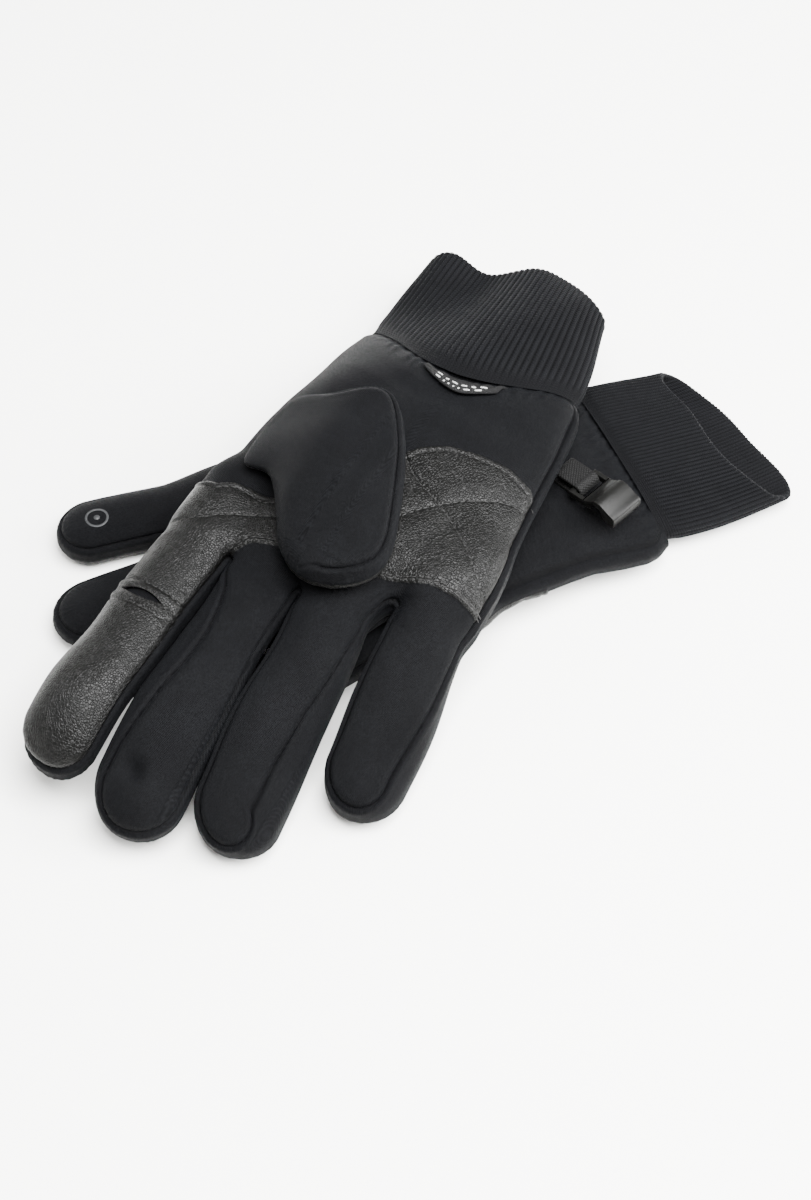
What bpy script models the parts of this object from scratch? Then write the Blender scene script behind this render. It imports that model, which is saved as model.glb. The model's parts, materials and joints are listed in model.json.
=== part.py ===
"""A pair of convertible flip-top gloves, the right one lying palm up across the left one, which lies palm down.

Each glove is sewn from softshell panels, leather palm pieces and a knitted cuff. The index fingertip is a hood that
folds back at a slit in the palm side. Every panel is a curved sheet with its fabric's thickness.

A glove is drawn in its own frame, in millimetres: u runs from the wrist seam to the fingertips, v runs from the
index side to the little-finger side, and w rises from the glove's middle layer towards its palm side.
"""

import math

import bmesh
import bpy
import numpy as np
from mathutils import Vector

MM = 0.001
WELD = 0.00001

# Fabric thicknesses and the clearance kept between neighbouring pieces.
SHELL = 1.5
LEATHER = 1.0
KNIT = 2.2
WEBBING = 0.9
GAP = 0.4

# Outline of the hand from the wrist seam to the finger bases.
HAND_U = (0.0, 10.0, 30.0, 60.0, 90.0, 122.0)
CENTRE_U = (-55.0, 0.0, 15.0, 40.0, 95.0, 124.0, 165.0)
INDEX_EDGE = (-49.5, -49.5, -48.5, -48.0, -49.8, -53.0)
HAND_POWER = 2.6
KNUCKLE_INDEX, KNUCKLE_LITTLE = 120.5, 106.0
STEP_FROM, STEP_TO = 26.0, 30.0
GUSSET_SHARE = 0.87
HAND_STOPS = (0.0, 0.08, 0.22, 0.38, 0.55, 0.75, 1.0)

# Fingers: the base and tip centres of each spine, and the half widths there.
FINGERS = {
    "index": {"base": (121.6, -40.2), "half": (12.8, 13.3)},
    "middle": {"base": (121.6, -12.9), "tip": (207.3, -9.0), "half": (13.1, 15.4)},
    "ring": {"base": (121.6, 14.4), "tip": (195.0, 21.8), "half": (12.9, 14.9)},
    "little": {"base": (107.4, 44.9), "tip": (161.3, 50.8), "half": (13.4, 14.5)},
}
FINGER_POWER = 2.7
FRONT_EDGE_DEG = 33.0
SLIT_U = 153.0
SLIT_OPEN = 4.5
BEND_FROM_BASE = 8.0

# Thumb: a wide pouch folded over the palm, given as its spine and the two edges beside it, from the fold to the tip.
THUMB_SPINE = ((75.0, -37.5), (75.0, -28.0), (76.0, -17.0), (85.0, -4.0), (103.0, 6.5))
THUMB_WRIST_EDGE = ((61.0, -37.5), (54.5, -26.0), (46.5, -11.0), (61.5, 5.5), (84.5, 18.5))
THUMB_TIP = ((102.0, 25.5), (115.5, 23.5), (124.5, 12.5), (125.0, 1.0))
THUMB_FINGER_EDGE = ((90.0, -37.5), (92.0, -31.0), (98.0, -24.5), (107.5, -17.0), (118.5, -9.5))
THUMB_FULLNESS = (0.45, 0.75, 1.0, 1.0, 1.0)
THUMB_FOLD_V, THUMB_FOLD_W = -38.5, 10.2

# Leather palm patch: its wrist-side and finger-side edges across the hand.
PATCH_V = (-50.0, -40.0, -25.0, -10.0, 8.0, 26.0, 40.0, 50.0, 58.0)
PATCH_WRIST_U = (96.0, 95.0, 88.0, 74.0, 56.0, 44.0, 40.5, 43.0, 46.0)
PATCH_FINGER_U = (118.5, 118.5, 117.5, 115.0, 112.0, 107.0, 103.5, 101.0, 99.0)

# Elastic, label and touch mark.
ELASTIC_WIDTH, WRIST_INNER = 6.0, 38.5
LABEL_WIDTH, LABEL_LENGTH, LABEL_U, LABEL_V = 30.0, 11.0, 3.0, 4.0
MARK_LENGTH, MARK_WIDTH = 13.0, 9.0

# Clip and its webbing loop, stitched to the back of the left glove.
CLIP_WIDTH, LOOP_WIDTH, LOOP_LENGTH, LOOP_HEIGHT = 14.0, 9.6, 8.5, 5.2
LOOP_ROOT_U, LOOP_ROOT_V, CLIP_HEADING, CLIP_RISE_DEG = 25.5, 2.3, -45.3, 7.0
WINDOW_FROM, WINDOW_TO = 1.3, 6.4
CLIP_PROFILE = (
    (-1.3, 0.0), (-0.9, 0.95), (0.0, 1.3), (6.4, 1.5), (9.0, 2.5), (11.4, 4.2), (13.4, 4.7), (15.6, 4.1),
    (18.4, 2.6), (20.6, 1.7), (21.2, 0.6), (20.8, -2.4), (19.6, -3.1), (16.8, -2.4), (15.2, -0.6),
    (14.7, 0.9), (13.6, 1.8), (11.0, 1.8), (10.2, 0.1), (9.3, -0.9), (6.4, -1.3), (0.0, -1.3), (-0.9, -0.95),
)

GLOVES = {
    "right": {
        "origin": (19.7, 61.4), "heading": (-120.9, -120.9, -120.9, -120.9, -120.9), "palm": 1.0, "length": 1.0,
        "hand_half": (9.0, 10.0, 11.3, 11.3, 10.8, 9.2), "finger_half": 8.4,
        "centre": (9.0, 10.0, 11.4, 12.4, 12.4, 10.6, 9.2), "cuff_half": 8.4, "cuff_width": (45.5, 40.2),
        "cuff_shift": (-3.0, -1.0), "cuff_length": 44.5, "rim_slant": 8.0, "rim_lean": 0.12, "cuff_drift": 0.17,
        "seam_line": ((-52.0, -8.0), (-36.0, 0.0), (-18.0, 12.0), (-6.0, 14.5), (6.0, 13.0), (18.0, 9.0), (38.0, -0.5)),
        "thumb_half": 7.2, "narrow": 1.0, "index_tip": (206.2, -39.8),
        "little_edge": (43.0, 47.0, 50.5, 55.0, 58.5, 60.0),
    },
    "left": {
        "origin": (73.1, 29.0), "heading": (-144.3, -155.5, -162.5, -160.0, -158.0), "palm": -1.0, "length": 0.958,
        "hand_half": (7.6, 7.2, 6.6, 6.6, 6.6, 7.0), "finger_half": 7.6,
        "centre": (8.0, 9.5, 12.4, 15.6, 16.6, 15.6, 8.4), "cuff_half": 7.4, "cuff_width": (41.2, 39.5),
        "cuff_shift": (-4.2, 3.0), "cuff_length": 42.8, "rim_slant": 9.8, "rim_lean": 0.0, "cuff_drift": 0.0,
        "seam_line": ((-50.0, 0.0), (50.0, 0.0)),
        "thumb_half": 3.4, "narrow": 0.9, "index_tip": (196.5, -47.5),
        "little_edge": (43.0, 45.5, 44.8, 49.5, 55.5, 60.0),
    },
}
HEADING_U = (-55.0, 0.0, 50.0, 100.0, 160.0)
WRIST_STRAIGHTENS, CUFF_STRAIGHTENS, BOW_BLUR = 55.0, 50.0, 8.0

# Height of the lowest point above the floor before the pair is set down on it.
LOWEST = 0.37

# The right glove drapes over the left one: full height above its middle, none well beyond its edges.
DRAPE_HEIGHT, DRAPE_INNER, DRAPE_OUTER = 23.5, 42.0, 104.0


def smooth_step(value, low, high):
    """0 below low, 1 above high, and an even curve between them."""
    t = np.clip((value - low) / (high - low), 0.0, 1.0)
    return t * t * (3.0 - 2.0 * t)


class Glove:
    """Places one glove's own coordinates in the world."""

    def __init__(self, name, lies_on=None):
        self.name = name
        self.lies_on = lies_on
        for key, value in GLOVES[name].items():
            setattr(self, key, value)
        steps = np.linspace(-90.0, 240.0, 331)
        turn = np.radians(np.interp(steps, HEADING_U, self.heading))
        zero = int(np.argmin(abs(steps)))
        step_length = (steps[1] - steps[0]) * self.length
        along = np.stack([np.cos(turn), np.sin(turn)], 1) * step_length
        path = np.cumsum(along, 0)
        self.steps, self.turn = steps, turn
        self.path = path - path[zero] + np.array(self.origin)

    def bow(self, v):
        """How far the wrist seam stands towards the fingers at v, with the corners of its line smoothed."""
        stops, reach = np.transpose(self.seam_line)
        return np.mean([np.interp(v + t * BOW_BLUR, stops, reach) for t in (-1.0, -0.5, 0.0, 0.5, 1.0)])

    def plan(self, u, v):
        """World plan position, in millimetres. The wrist seam bows, and the cuff leans to one side."""
        fade = 1.0 - smooth_step(abs(u), 0.0, WRIST_STRAIGHTENS if u > 0 else CUFF_STRAIGHTENS)
        before = min(u, 0.0)
        along = u + fade * self.bow(v) - self.rim_lean * v * before / self.cuff_length
        across = v + self.cuff_drift * before
        x = np.interp(along, self.steps, self.path[:, 0])
        y = np.interp(along, self.steps, self.path[:, 1])
        turn = np.interp(along, self.steps, self.turn)
        return np.array([x - across * np.sin(turn), y + across * np.cos(turn)])

    def support(self, point):
        """How high this glove is carried at a plan point by the glove it lies on."""
        if self.lies_on is None:
            return 0.0
        body = self.lies_on
        inside = (body.steps > -12.0) & (body.steps < 196.0)
        offsets = body.path[inside] - point
        distance = np.sqrt((offsets**2).sum(1).min())
        return DRAPE_HEIGHT * (1.0 - smooth_step(distance, DRAPE_INNER, DRAPE_OUTER))

    def place(self, u, v, w):
        """World position, in metres, of a point in the glove's frame."""
        flat = self.plan(u, v * self.narrow)
        height = np.interp(u, CENTRE_U, self.centre) + self.support(flat) + self.palm * w - LOWEST
        return Vector((flat[0], flat[1], height)) * MM

    def along(self, u, angle=0.0):
        """World direction of the u axis at u, turned by angle towards +v."""
        turn = np.interp(u, self.steps, self.turn) + angle
        return Vector((math.cos(turn), math.sin(turn), 0.0))

    # ------------------------------------------------------------ cross sections
    def hand(self, u, share, side, grow=0.0):
        """A point of the hand's skin. share runs from -1 at the index edge to 1 at the little-finger edge."""
        low = np.interp(u, HAND_U, INDEX_EDGE) - grow
        high = np.interp(u, HAND_U, self.little_edge) + grow
        half = np.interp(u, HAND_U, self.hand_half) + grow
        rise = (1.0 - abs(share) ** HAND_POWER) ** (1.0 / HAND_POWER)
        return u, (low + high) / 2 + share * (high - low) / 2, side * half * rise

    def share_at(self, u, v):
        low = np.interp(u, HAND_U, INDEX_EDGE)
        high = np.interp(u, HAND_U, self.little_edge)
        return (2 * v - low - high) / (high - low)


def knuckle_u(v):
    """Where the hand's panels end and the fingers begin."""
    return KNUCKLE_INDEX + (KNUCKLE_LITTLE - KNUCKLE_INDEX) * smooth_step(v, STEP_FROM, STEP_TO)


class Pouch:
    """A finger or thumb: an outline that runs from its base round the tip and back, and the spine inside it."""

    def __init__(self, glove, outline, spine, halves, middles):
        self.glove, self.halves, self.middles = glove, halves, middles
        self.outline, self.spine = np.array(outline), np.array(spine)

    def point(self, i, degrees, grow=0.0):
        """Skin point at outline station i. degrees is 0 at the outline and 90 over the spine."""
        angle = math.radians(degrees)
        reach = abs(math.cos(angle)) ** (2 / FINGER_POWER)
        rise = math.copysign(abs(math.sin(angle)) ** (2 / FINGER_POWER), math.sin(angle))
        arm = self.outline[i] - self.spine[i]
        length = np.linalg.norm(arm)
        flat = self.spine[i] + arm * reach * (length + grow) / max(length, 1e-6)
        return self.glove.place(flat[0], flat[1], self.middles[i] + (self.halves[i] + grow) * rise)

    def rows(self, angles, grow=0.0, stations=None):
        stations = range(len(self.outline)) if stations is None else stations
        return [[self.point(i, a, grow) for i in stations] for a in angles]


def finger_axes(glove, name):
    """A finger's tip centre, and its lengthwise and crosswise directions."""
    base, top = np.array(FINGERS[name]["base"]), np.array(FINGERS[name].get("tip", glove.index_tip))
    along = (top - base) / np.linalg.norm(top - base)
    return top, along, np.array([-along[1], along[0]])


def finger_pouch(glove, name, start=None, end=None, sides=5, tip=8):
    """The pouch of a finger between two distances along its spine, open at the base, and round at the tip."""
    finger = FINGERS[name]
    base = np.array(finger["base"])
    top, along, across = finger_axes(glove, name)
    length = np.linalg.norm(top - base)
    first = 0.0 if start is None else start
    last = length if end is None else end
    stops = np.linspace(first, last, sides)
    outline, spine = [], []
    for side, order in ((1.0, stops), (-1.0, stops[::-1])):
        for stop in order:
            centre = base + along * stop
            half = np.interp(stop, (0.0, length), finger["half"])
            spine.append(centre)
            outline.append(centre + across * half * side)
        if side > 0 and end is None:
            half = finger["half"][1]
            for k in range(1, tip):
                angle = math.pi / 2 - math.pi * k / tip
                spine.append(top)
                outline.append(top + (along * math.cos(angle) + across * math.sin(angle)) * half)
    return Pouch(glove, outline, spine, [glove.finger_half] * len(outline), [0.0] * len(outline))


def thumb_pouch(glove):
    """The thumb's pouch, which lies on the leather over the palm and is flattest at its fold."""
    outline = THUMB_WRIST_EDGE + THUMB_TIP + THUMB_FINGER_EDGE[::-1]
    spine = THUMB_SPINE + THUMB_SPINE[-1:] * len(THUMB_TIP) + THUMB_SPINE[::-1]
    full = THUMB_FULLNESS + THUMB_FULLNESS[-1:] * len(THUMB_TIP) + THUMB_FULLNESS[::-1]
    halves = [share * glove.thumb_half for share in full]
    middles = []
    for (u, v), half in zip(spine, halves):
        palm = glove.hand(u, max(glove.share_at(u, v), -0.9), 1)[2]
        middles.append(palm + GAP + LEATHER + 2 * GAP + half)
    return Pouch(glove, outline, spine, halves, middles)


# ---------------------------------------------------------------- objects
def material(name, colour, roughness, metallic=0.0):
    made = bpy.data.materials.get(name)
    if made is None:
        made = bpy.data.materials.new(name)
        made.use_nodes = True
        shader = made.node_tree.nodes["Principled BSDF"]
        shader.inputs["Base Color"].default_value = (*colour, 1.0)
        shader.inputs["Roughness"].default_value = roughness
        shader.inputs["Metallic"].default_value = metallic
    return made


def softshell():
    return material("softshell", (0.018, 0.019, 0.022), 0.85)


def leather():
    return material("leather", (0.035, 0.035, 0.034), 0.5)


def knit():
    return material("rib_knit", (0.02, 0.021, 0.025), 0.95)


def webbing():
    return material("webbing", (0.03, 0.03, 0.03), 0.8)


def plastic():
    return material("clip_plastic", (0.03, 0.03, 0.03), 0.3)


def rubber():
    return material("elastic", (0.05, 0.05, 0.05), 0.9)


def print_ink():
    return material("touch_print", (0.12, 0.12, 0.12), 0.6)


def label_weave():
    return material("label_weave", (0.04, 0.04, 0.04), 0.7)


def pivot(name, position):
    """An empty on a joint's axis, which carries the pieces that turn there."""
    empty = bpy.data.objects.new("pivot_" + name, None)
    empty.location = position
    bpy.context.scene.collection.objects.link(empty)
    return empty


def add_object(name, bm, finish, parent):
    """Writes a bmesh, whose points are in the world, as an object carried by its pivot."""
    mesh = bpy.data.meshes.new(name)
    bmesh.ops.translate(bm, verts=bm.verts, vec=-Vector(parent.location))
    bm.to_mesh(mesh)
    bm.free()
    mesh.materials.append(finish)
    mesh.shade_smooth()
    made = bpy.data.objects.new(name, mesh)
    made.parent = parent
    bpy.context.scene.collection.objects.link(made)
    return made


def grid_faces(rows, closed):
    """Unique points of a grid, where its ends may meet, and the faces between them."""
    order, numbered, lookup = [], [], {}
    for row in rows:
        numbered.append([])
        for p in row:
            key = tuple(round(c / WELD) for c in p)
            if key not in lookup:
                lookup[key] = len(order)
                order.append(p)
            numbered[-1].append(lookup[key])
    faces = []
    for lower, upper in zip(numbered, numbered[1:]):
        for i in range(len(lower) - (0 if closed else 1)):
            j = (i + 1) % len(lower)
            ring = [lower[i], lower[j], upper[j], upper[i]]
            ring = [corner for k, corner in enumerate(ring) if corner != ring[k - 1]]
            if len(set(ring)) > 2:
                faces.append(ring)
    return order, numbered, faces


def panel(name, outer, inner, finish, parent, closed=False):
    """One fabric panel: the skin between two matching grids of points, closed along its edges."""
    outside, numbered, faces = grid_faces(outer, closed)
    count = len(outside)
    inside = list(outside)
    for row, points in zip(numbered, inner):
        for index, point in zip(row, points):
            inside[index] = point
    directed = {(a, b) for f in faces for a, b in zip(f, f[1:] + f[:1])}
    rim = [(b, a, a + count, b + count) for a, b in sorted(directed) if (b, a) not in directed]
    bm = bmesh.new()
    verts = [bm.verts.new(p) for p in outside + inside]
    for face in faces:
        bm.faces.new([verts[i] for i in face])
        bm.faces.new([verts[i + count] for i in reversed(face)])
    for face in rim:
        bm.faces.new([verts[i] for i in face])
    bmesh.ops.recalc_face_normals(bm, faces=bm.faces)
    return add_object(name, bm, finish, parent)


def sheet(name, rows, finish, parent, thickness, closed=False):
    """A thin sheet laid on a grid of points and given its thickness by Solidify, half to each side."""
    points, numbered, faces = grid_faces(rows, closed)
    bm = bmesh.new()
    verts = [bm.verts.new(p) for p in points]
    for face in faces:
        bm.faces.new([verts[i] for i in face])
    made = add_object(name, bm, finish, parent)
    solid = made.modifiers.new("thickness", "SOLIDIFY")
    solid.thickness = thickness * MM
    solid.offset = 0.0
    return made


def prism(name, outline, start, side, finish, parent):
    """A flat outline of world points extruded along side, a world vector."""
    bm = bmesh.new()
    face = bm.faces.new([bm.verts.new(start + p) for p in outline])
    extruded = bmesh.ops.extrude_face_region(bm, geom=[face])
    moved = [g for g in extruded["geom"] if isinstance(g, bmesh.types.BMVert)]
    bmesh.ops.translate(bm, verts=moved, vec=side)
    bmesh.ops.recalc_face_normals(bm, faces=bm.faces)
    return add_object(name, bm, finish, parent)


def cut(target, cutter):
    """Cuts one object from another and hides the cutter."""
    cutter.hide_render = True
    cutter.display_type = "WIRE"
    boolean = target.modifiers.new("cut_" + cutter.name, "BOOLEAN")
    boolean.operation = "DIFFERENCE"
    boolean.object = cutter


# ---------------------------------------------------------------- hand
def hand_rows(glove, stations, grow):
    """A grid of hand skin points; stations are rows of (u, share, side)."""
    return [[glove.place(*glove.hand(u, share, side, grow)) for u, share, side in row] for row in stations]


def hand_panel(glove, name, side, parent):
    """The palm or back panel, between the index edge and the little-finger gusset."""
    shares = (-0.985, -0.94, -0.8, -0.6, -0.3, 0.0, 0.28, 0.42, 0.54, 0.7, 0.8, GUSSET_SHARE - 0.008)
    ends = [min(knuckle_u(glove.hand(110.0, s, 1)[1]) - GAP, KNUCKLE_INDEX) for s in shares]
    stations = [
        [(GAP + t * (end - GAP), share, side) for share, end in zip(shares, ends)]
        for t in HAND_STOPS
    ]
    outer, inner = hand_rows(glove, stations, 0.0), hand_rows(glove, stations, -SHELL)
    return panel(f"{glove.name}_{name}", outer, inner, softshell(), parent)


def side_gusset(glove, parent):
    """The strip along the little-finger edge, from the cuff to the little finger."""
    end = KNUCKLE_LITTLE - GAP
    sides = [(s, 1) for s in (GUSSET_SHARE, 0.94, 0.985)] + [(1.0, 1)]
    sides += [(s, -1) for s in (0.985, 0.94, GUSSET_SHARE)]
    stations = [[(GAP + t * (end - GAP), s, side) for s, side in sides] for t in HAND_STOPS]
    outer, inner = hand_rows(glove, stations, 0.0), hand_rows(glove, stations, -SHELL)
    return panel(f"{glove.name}_side_gusset", outer, inner, softshell(), parent)


def palm_patch(glove, parent):
    """The leather patch that crosses the palm from the index finger to the heel of the hand."""
    columns = (-48.0, -41.0, -31.0, -20.0, -8.0, 5.0, 18.0, 30.0, 41.0, 48.5)
    stations = []
    for t in (0.0, 0.33, 0.67, 1.0):
        stations.append([])
        for v in columns:
            wrist, finger = np.interp(v, PATCH_V, PATCH_WRIST_U), np.interp(v, PATCH_V, PATCH_FINGER_U)
            u = wrist + t * (finger - wrist)
            share = np.clip(glove.share_at(u, v), -0.95, GUSSET_SHARE - 0.02)
            stations[-1].append((u, share, 1))
    outer, inner = hand_rows(glove, stations, GAP + LEATHER), hand_rows(glove, stations, GAP)
    return panel(f"{glove.name}_palm_patch", outer, inner, leather(), parent)


def tube_rows(glove, stations, width, half, count=20):
    """Rings of a flattened tube; stations are (u, share of the way to the rim, slant of the palm side)."""
    rows = []
    for u, share, slant in stations:
        rows.append([])
        for k in range(count):
            angle = 2 * math.pi * k / count
            reach = math.copysign(abs(math.cos(angle)) ** (2 / HAND_POWER), math.cos(angle))
            rise = math.copysign(abs(math.sin(angle)) ** (2 / HAND_POWER), math.sin(angle))
            wide = width[0] + share * (width[1] - width[0])
            shift = glove.cuff_shift[0] + share * (glove.cuff_shift[1] - glove.cuff_shift[0])
            rows[-1].append(glove.place(u - slant * rise, wide * reach + shift, half * rise))
    return rows


def tube(glove, name, stations, width, half, thickness, finish, parent, count=20):
    outer = tube_rows(glove, stations, width, half, count)
    inner = tube_rows(glove, stations, (width[0] - thickness, width[1] - thickness), half - thickness, count)
    return panel(f"{glove.name}_{name}", outer, inner, finish, parent, closed=True)


def knit_cuff(glove, parent):
    """The knitted cuff, open at the wrist end."""
    stations = [(-GAP - t * glove.cuff_length, t, glove.rim_slant * t) for t in (0.0, 0.15, 0.4, 0.7, 1.0)]
    return tube(glove, "knit_cuff", stations, glove.cuff_width, glove.cuff_half, KNIT, knit(), parent)


def wrist_elastic(glove, parent):
    """The elastic band stitched inside the wrist seam."""
    wide = WRIST_INNER
    stations = [(t, 0.0, 0.0) for t in (1.5, 1.5 + ELASTIC_WIDTH)]
    half = glove.hand_half[0] - SHELL - 1.2
    return tube(glove, "wrist_elastic", stations, (wide, wide), half, 0.8, rubber(), parent, count=16)


def label(glove, parent, name):
    """A woven label, a flat folded ribbon caught in the wrist seam."""
    rise = np.interp(10.0, HAND_U, glove.hand_half) + GAP + 0.7
    lift = 1.6 if glove.palm > 0 else 0.2
    rows = []
    for t in (0.0, 0.35, 0.7, 1.0):
        sides = [LABEL_V + LABEL_WIDTH * x for x in (-0.5, -0.17, 0.17, 0.5)]
        rows.append([glove.place(LABEL_U + t * LABEL_LENGTH, v, rise + lift * t) for v in sides])
    return sheet(name, rows, label_weave(), parent, 0.6)


# ---------------------------------------------------------------- fingers and thumb
FRONT_ROWS = (FRONT_EDGE_DEG + 1.2, 55.0, 74.0, 90.0)
BACK_ROWS = tuple(-a for a in FRONT_ROWS)
SIDE_ROWS = (-FRONT_EDGE_DEG + 1.2, -14.0, 14.0, FRONT_EDGE_DEG - 1.2)


def pouch_panel(pouch, name, angles, finish, parent, thickness=SHELL, grow=0.0, stations=None):
    """A panel of a finger or thumb between two angles of its section."""
    outer = pouch.rows(angles, grow, stations)
    inner = pouch.rows(angles, grow - thickness, stations)
    return panel(f"{pouch.glove.name}_{name}", outer, inner, finish, parent)


def sleeve_panel(pouch, name, angles, finish, parent, thickness=SHELL, grow=0.0):
    """A panel that runs over or under a finger from one side to the other, for a stretch with no tip."""
    half = len(pouch.outline) // 2
    left, right = list(range(half)), list(range(half, 2 * half))[::-1]
    skins = []
    for extra in (grow, grow - thickness):
        rows = pouch.rows(angles, extra, right)
        skins.append(rows + pouch.rows(angles[-2::-1], extra, left))
    return panel(f"{pouch.glove.name}_{name}", *skins, finish, parent)


def index_base(glove, parent):
    """The index finger from its base to the slit: a sleeve, its leather front and the flap seen through the slit."""
    reach = SLIT_U - FINGERS["index"]["base"][0]
    sleeve = finger_pouch(glove, "index", 0.0, reach, sides=3)
    angles = (FRONT_EDGE_DEG - 1.2, 12.0, -12.0, -34.0, -60.0, -90.0)
    sleeve_panel(sleeve, "index_base_sleeve", angles, softshell(), parent)
    cropped = finger_pouch(glove, "index", 0.0, reach - SLIT_OPEN / 2, sides=3)
    sleeve_panel(cropped, "index_base_leather", (FRONT_EDGE_DEG + 1.2, 60.0, 90.0), leather(), parent, LEATHER)
    flap = finger_pouch(glove, "index", reach - 9.0, reach + 2.5, sides=3)
    sleeve_panel(flap, "slit_flap", (50.0, 68.0, 90.0), softshell(), parent, 0.8, -LEATHER - 0.8)


def index_hood(glove, parent):
    """The flip-top fingertip hood beyond the slit, with the touchscreen mark on its back."""
    reach = SLIT_U - FINGERS["index"]["base"][0] + 0.8
    pouch = finger_pouch(glove, "index", reach, sides=4)
    front = finger_pouch(glove, "index", reach + SLIT_OPEN / 2, sides=4)
    pouch_panel(front, "hood_leather", FRONT_ROWS, leather(), parent, LEATHER)
    pouch_panel(pouch, "hood_back", BACK_ROWS, softshell(), parent)
    pouch_panel(pouch, "hood_side_strip", SIDE_ROWS, softshell(), parent)
    top, along, across = finger_axes(glove, "index")
    rise = -glove.finger_half - 3 * GAP
    mark = []
    for t in (-0.5, 0.0, 0.5):
        flats = [top + along * MARK_LENGTH * t + across * MARK_WIDTH * s for s in (-0.5, 0.0, 0.5)]
        mark.append([glove.place(flat[0], flat[1], rise) for flat in flats])
    sheet(f"{glove.name}_touch_mark", mark, print_ink(), parent, 0.3)


def whole_finger(glove, name, parent):
    """A finger's front, back and the strip that runs round its tip between them."""
    pouch = finger_pouch(glove, name)
    pouch_panel(pouch, f"{name}_front", FRONT_ROWS, softshell(), parent)
    pouch_panel(pouch, f"{name}_back", BACK_ROWS, softshell(), parent)
    pouch_panel(pouch, f"{name}_side_strip", SIDE_ROWS, softshell(), parent)


def thumb(glove, parent):
    """The thumb, folded over the palm: its softshell back on top, its leather front underneath."""
    pouch = thumb_pouch(glove)
    pouch_panel(pouch, "thumb_back", FRONT_ROWS, softshell(), parent)
    pouch_panel(pouch, "thumb_leather", BACK_ROWS, leather(), parent, LEATHER)
    pouch_panel(pouch, "thumb_side_strip", SIDE_ROWS, softshell(), parent)


# ---------------------------------------------------------------- clip
def clip_axes():
    """The clip's lengthwise, crosswise and upward directions in the world."""
    turn, rise = math.radians(CLIP_HEADING), math.radians(CLIP_RISE_DEG)
    side = Vector((-math.sin(turn), math.cos(turn), 0.0))
    length = Vector((math.cos(turn) * math.cos(rise), math.sin(turn) * math.cos(rise), math.sin(rise)))
    return length, side, length.cross(side)


def webbing_loop(name, bar, parent):
    """A flat loop of webbing from its stitched root, round the clip's bar and back."""
    length, side, up = clip_axes()
    radius = LOOP_HEIGHT / 2
    outer = [
        (radius * math.cos(math.pi / 2 - math.pi * k / 8) + 0.5, radius * math.sin(math.pi / 2 - math.pi * k / 8))
        for k in range(9)
    ]
    outer += [
        (-LOOP_LENGTH - radius * math.sin(math.pi * k / 5), -radius * math.cos(math.pi * k / 5))
        for k in range(6)
    ]
    ring = [bar + (length * x + up * z) * MM for x, z in outer]
    half = side * LOOP_WIDTH / 2 * MM
    rows = [[p - half for p in ring], ring, [p + half for p in ring]]
    return sheet(name, rows, webbing(), parent, WEBBING, closed=True)


def clip_hook(name, bar, parent):
    """The hook: a bar in a window for the webbing, a plate, and a crooked throat that ends in a lip."""
    length, side, up = clip_axes()
    outline = [(length * x + up * z) * MM for x, z in CLIP_PROFILE]
    hook = prism(name, outline, bar - side * CLIP_WIDTH / 2 * MM, side * CLIP_WIDTH * MM, plastic(), parent)
    corners = ((WINDOW_FROM, -9.0), (WINDOW_TO, -9.0), (WINDOW_TO, 9.0), (WINDOW_FROM, 9.0))
    frame = [(length * x + up * z) * MM for x, z in corners]
    wide = LOOP_WIDTH + 1.2
    window = prism(name + "_cutter", frame, bar - side * wide / 2 * MM, side * wide * MM, plastic(), parent)
    cut(hook, window)
    return hook


# ---------------------------------------------------------------- assembly
def clear_scene():
    for item in list(bpy.data.objects):
        bpy.data.objects.remove(item, do_unlink=True)


def hinge_points(glove):
    """World points of each joint's axis."""
    points = {}
    for name in FINGERS:
        top, along, across = finger_axes(glove, name)
        flat = np.array(FINGERS[name]["base"]) + along * BEND_FROM_BASE
        points[name] = glove.place(flat[0], flat[1], glove.finger_half - 2.0)
    top, along, across = finger_axes(glove, "index")
    flat = np.array(FINGERS["index"]["base"]) + along * (SLIT_U - FINGERS["index"]["base"][0] + 0.4)
    points["hood"] = glove.place(flat[0], flat[1], -glove.finger_half)
    points["thumb"] = glove.place(75.0, THUMB_FOLD_V, THUMB_FOLD_W)
    points["label"] = glove.place(LABEL_U, LABEL_V, np.interp(10.0, HAND_U, glove.hand_half) + GAP + 0.7)
    return points


def build_glove(glove):
    points = hinge_points(glove)
    carriers = {key: pivot(f"{glove.name}_{key}", point) for key, point in points.items()}
    hand = pivot(f"{glove.name}_hand", glove.place(0.0, 0.0, 0.0))
    hand_panel(glove, "palm_panel", 1, hand)
    hand_panel(glove, "back_panel", -1, hand)
    side_gusset(glove, hand)
    palm_patch(glove, hand)
    knit_cuff(glove, hand)
    wrist_elastic(glove, hand)
    label(glove, carriers["label"], f"{glove.name}_woven_label")
    index_base(glove, carriers["index"])
    index_hood(glove, carriers["hood"])
    for name in ("middle", "ring", "little"):
        whole_finger(glove, name, carriers[name])
    thumb(glove, carriers["thumb"])


def build_clip(glove):
    """The webbing loop on the back of a glove near the wrist, and its hook."""
    length, side, up = clip_axes()
    root = glove.place(LOOP_ROOT_U, LOOP_ROOT_V, -np.interp(LOOP_ROOT_U, HAND_U, glove.hand_half))
    seat = root + Vector((0, 0, (LOOP_HEIGHT / 2 + 0.8) * MM))
    bar = seat + length * LOOP_LENGTH * MM
    heel = seat - length * LOOP_HEIGHT / 2 * MM - up * (LOOP_HEIGHT / 2 + WEBBING / 2) * MM
    loop = pivot(f"{glove.name}_loop", heel)
    swing = pivot(f"{glove.name}_clip", bar)
    webbing_loop(f"{glove.name}_webbing_loop", bar, loop)
    clip_hook(f"{glove.name}_clip_hook", bar, swing)


def main():
    clear_scene()
    left = Glove("left")
    right = Glove("right", lies_on=left)
    build_glove(left)
    build_glove(right)
    build_clip(left)


main()
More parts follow.
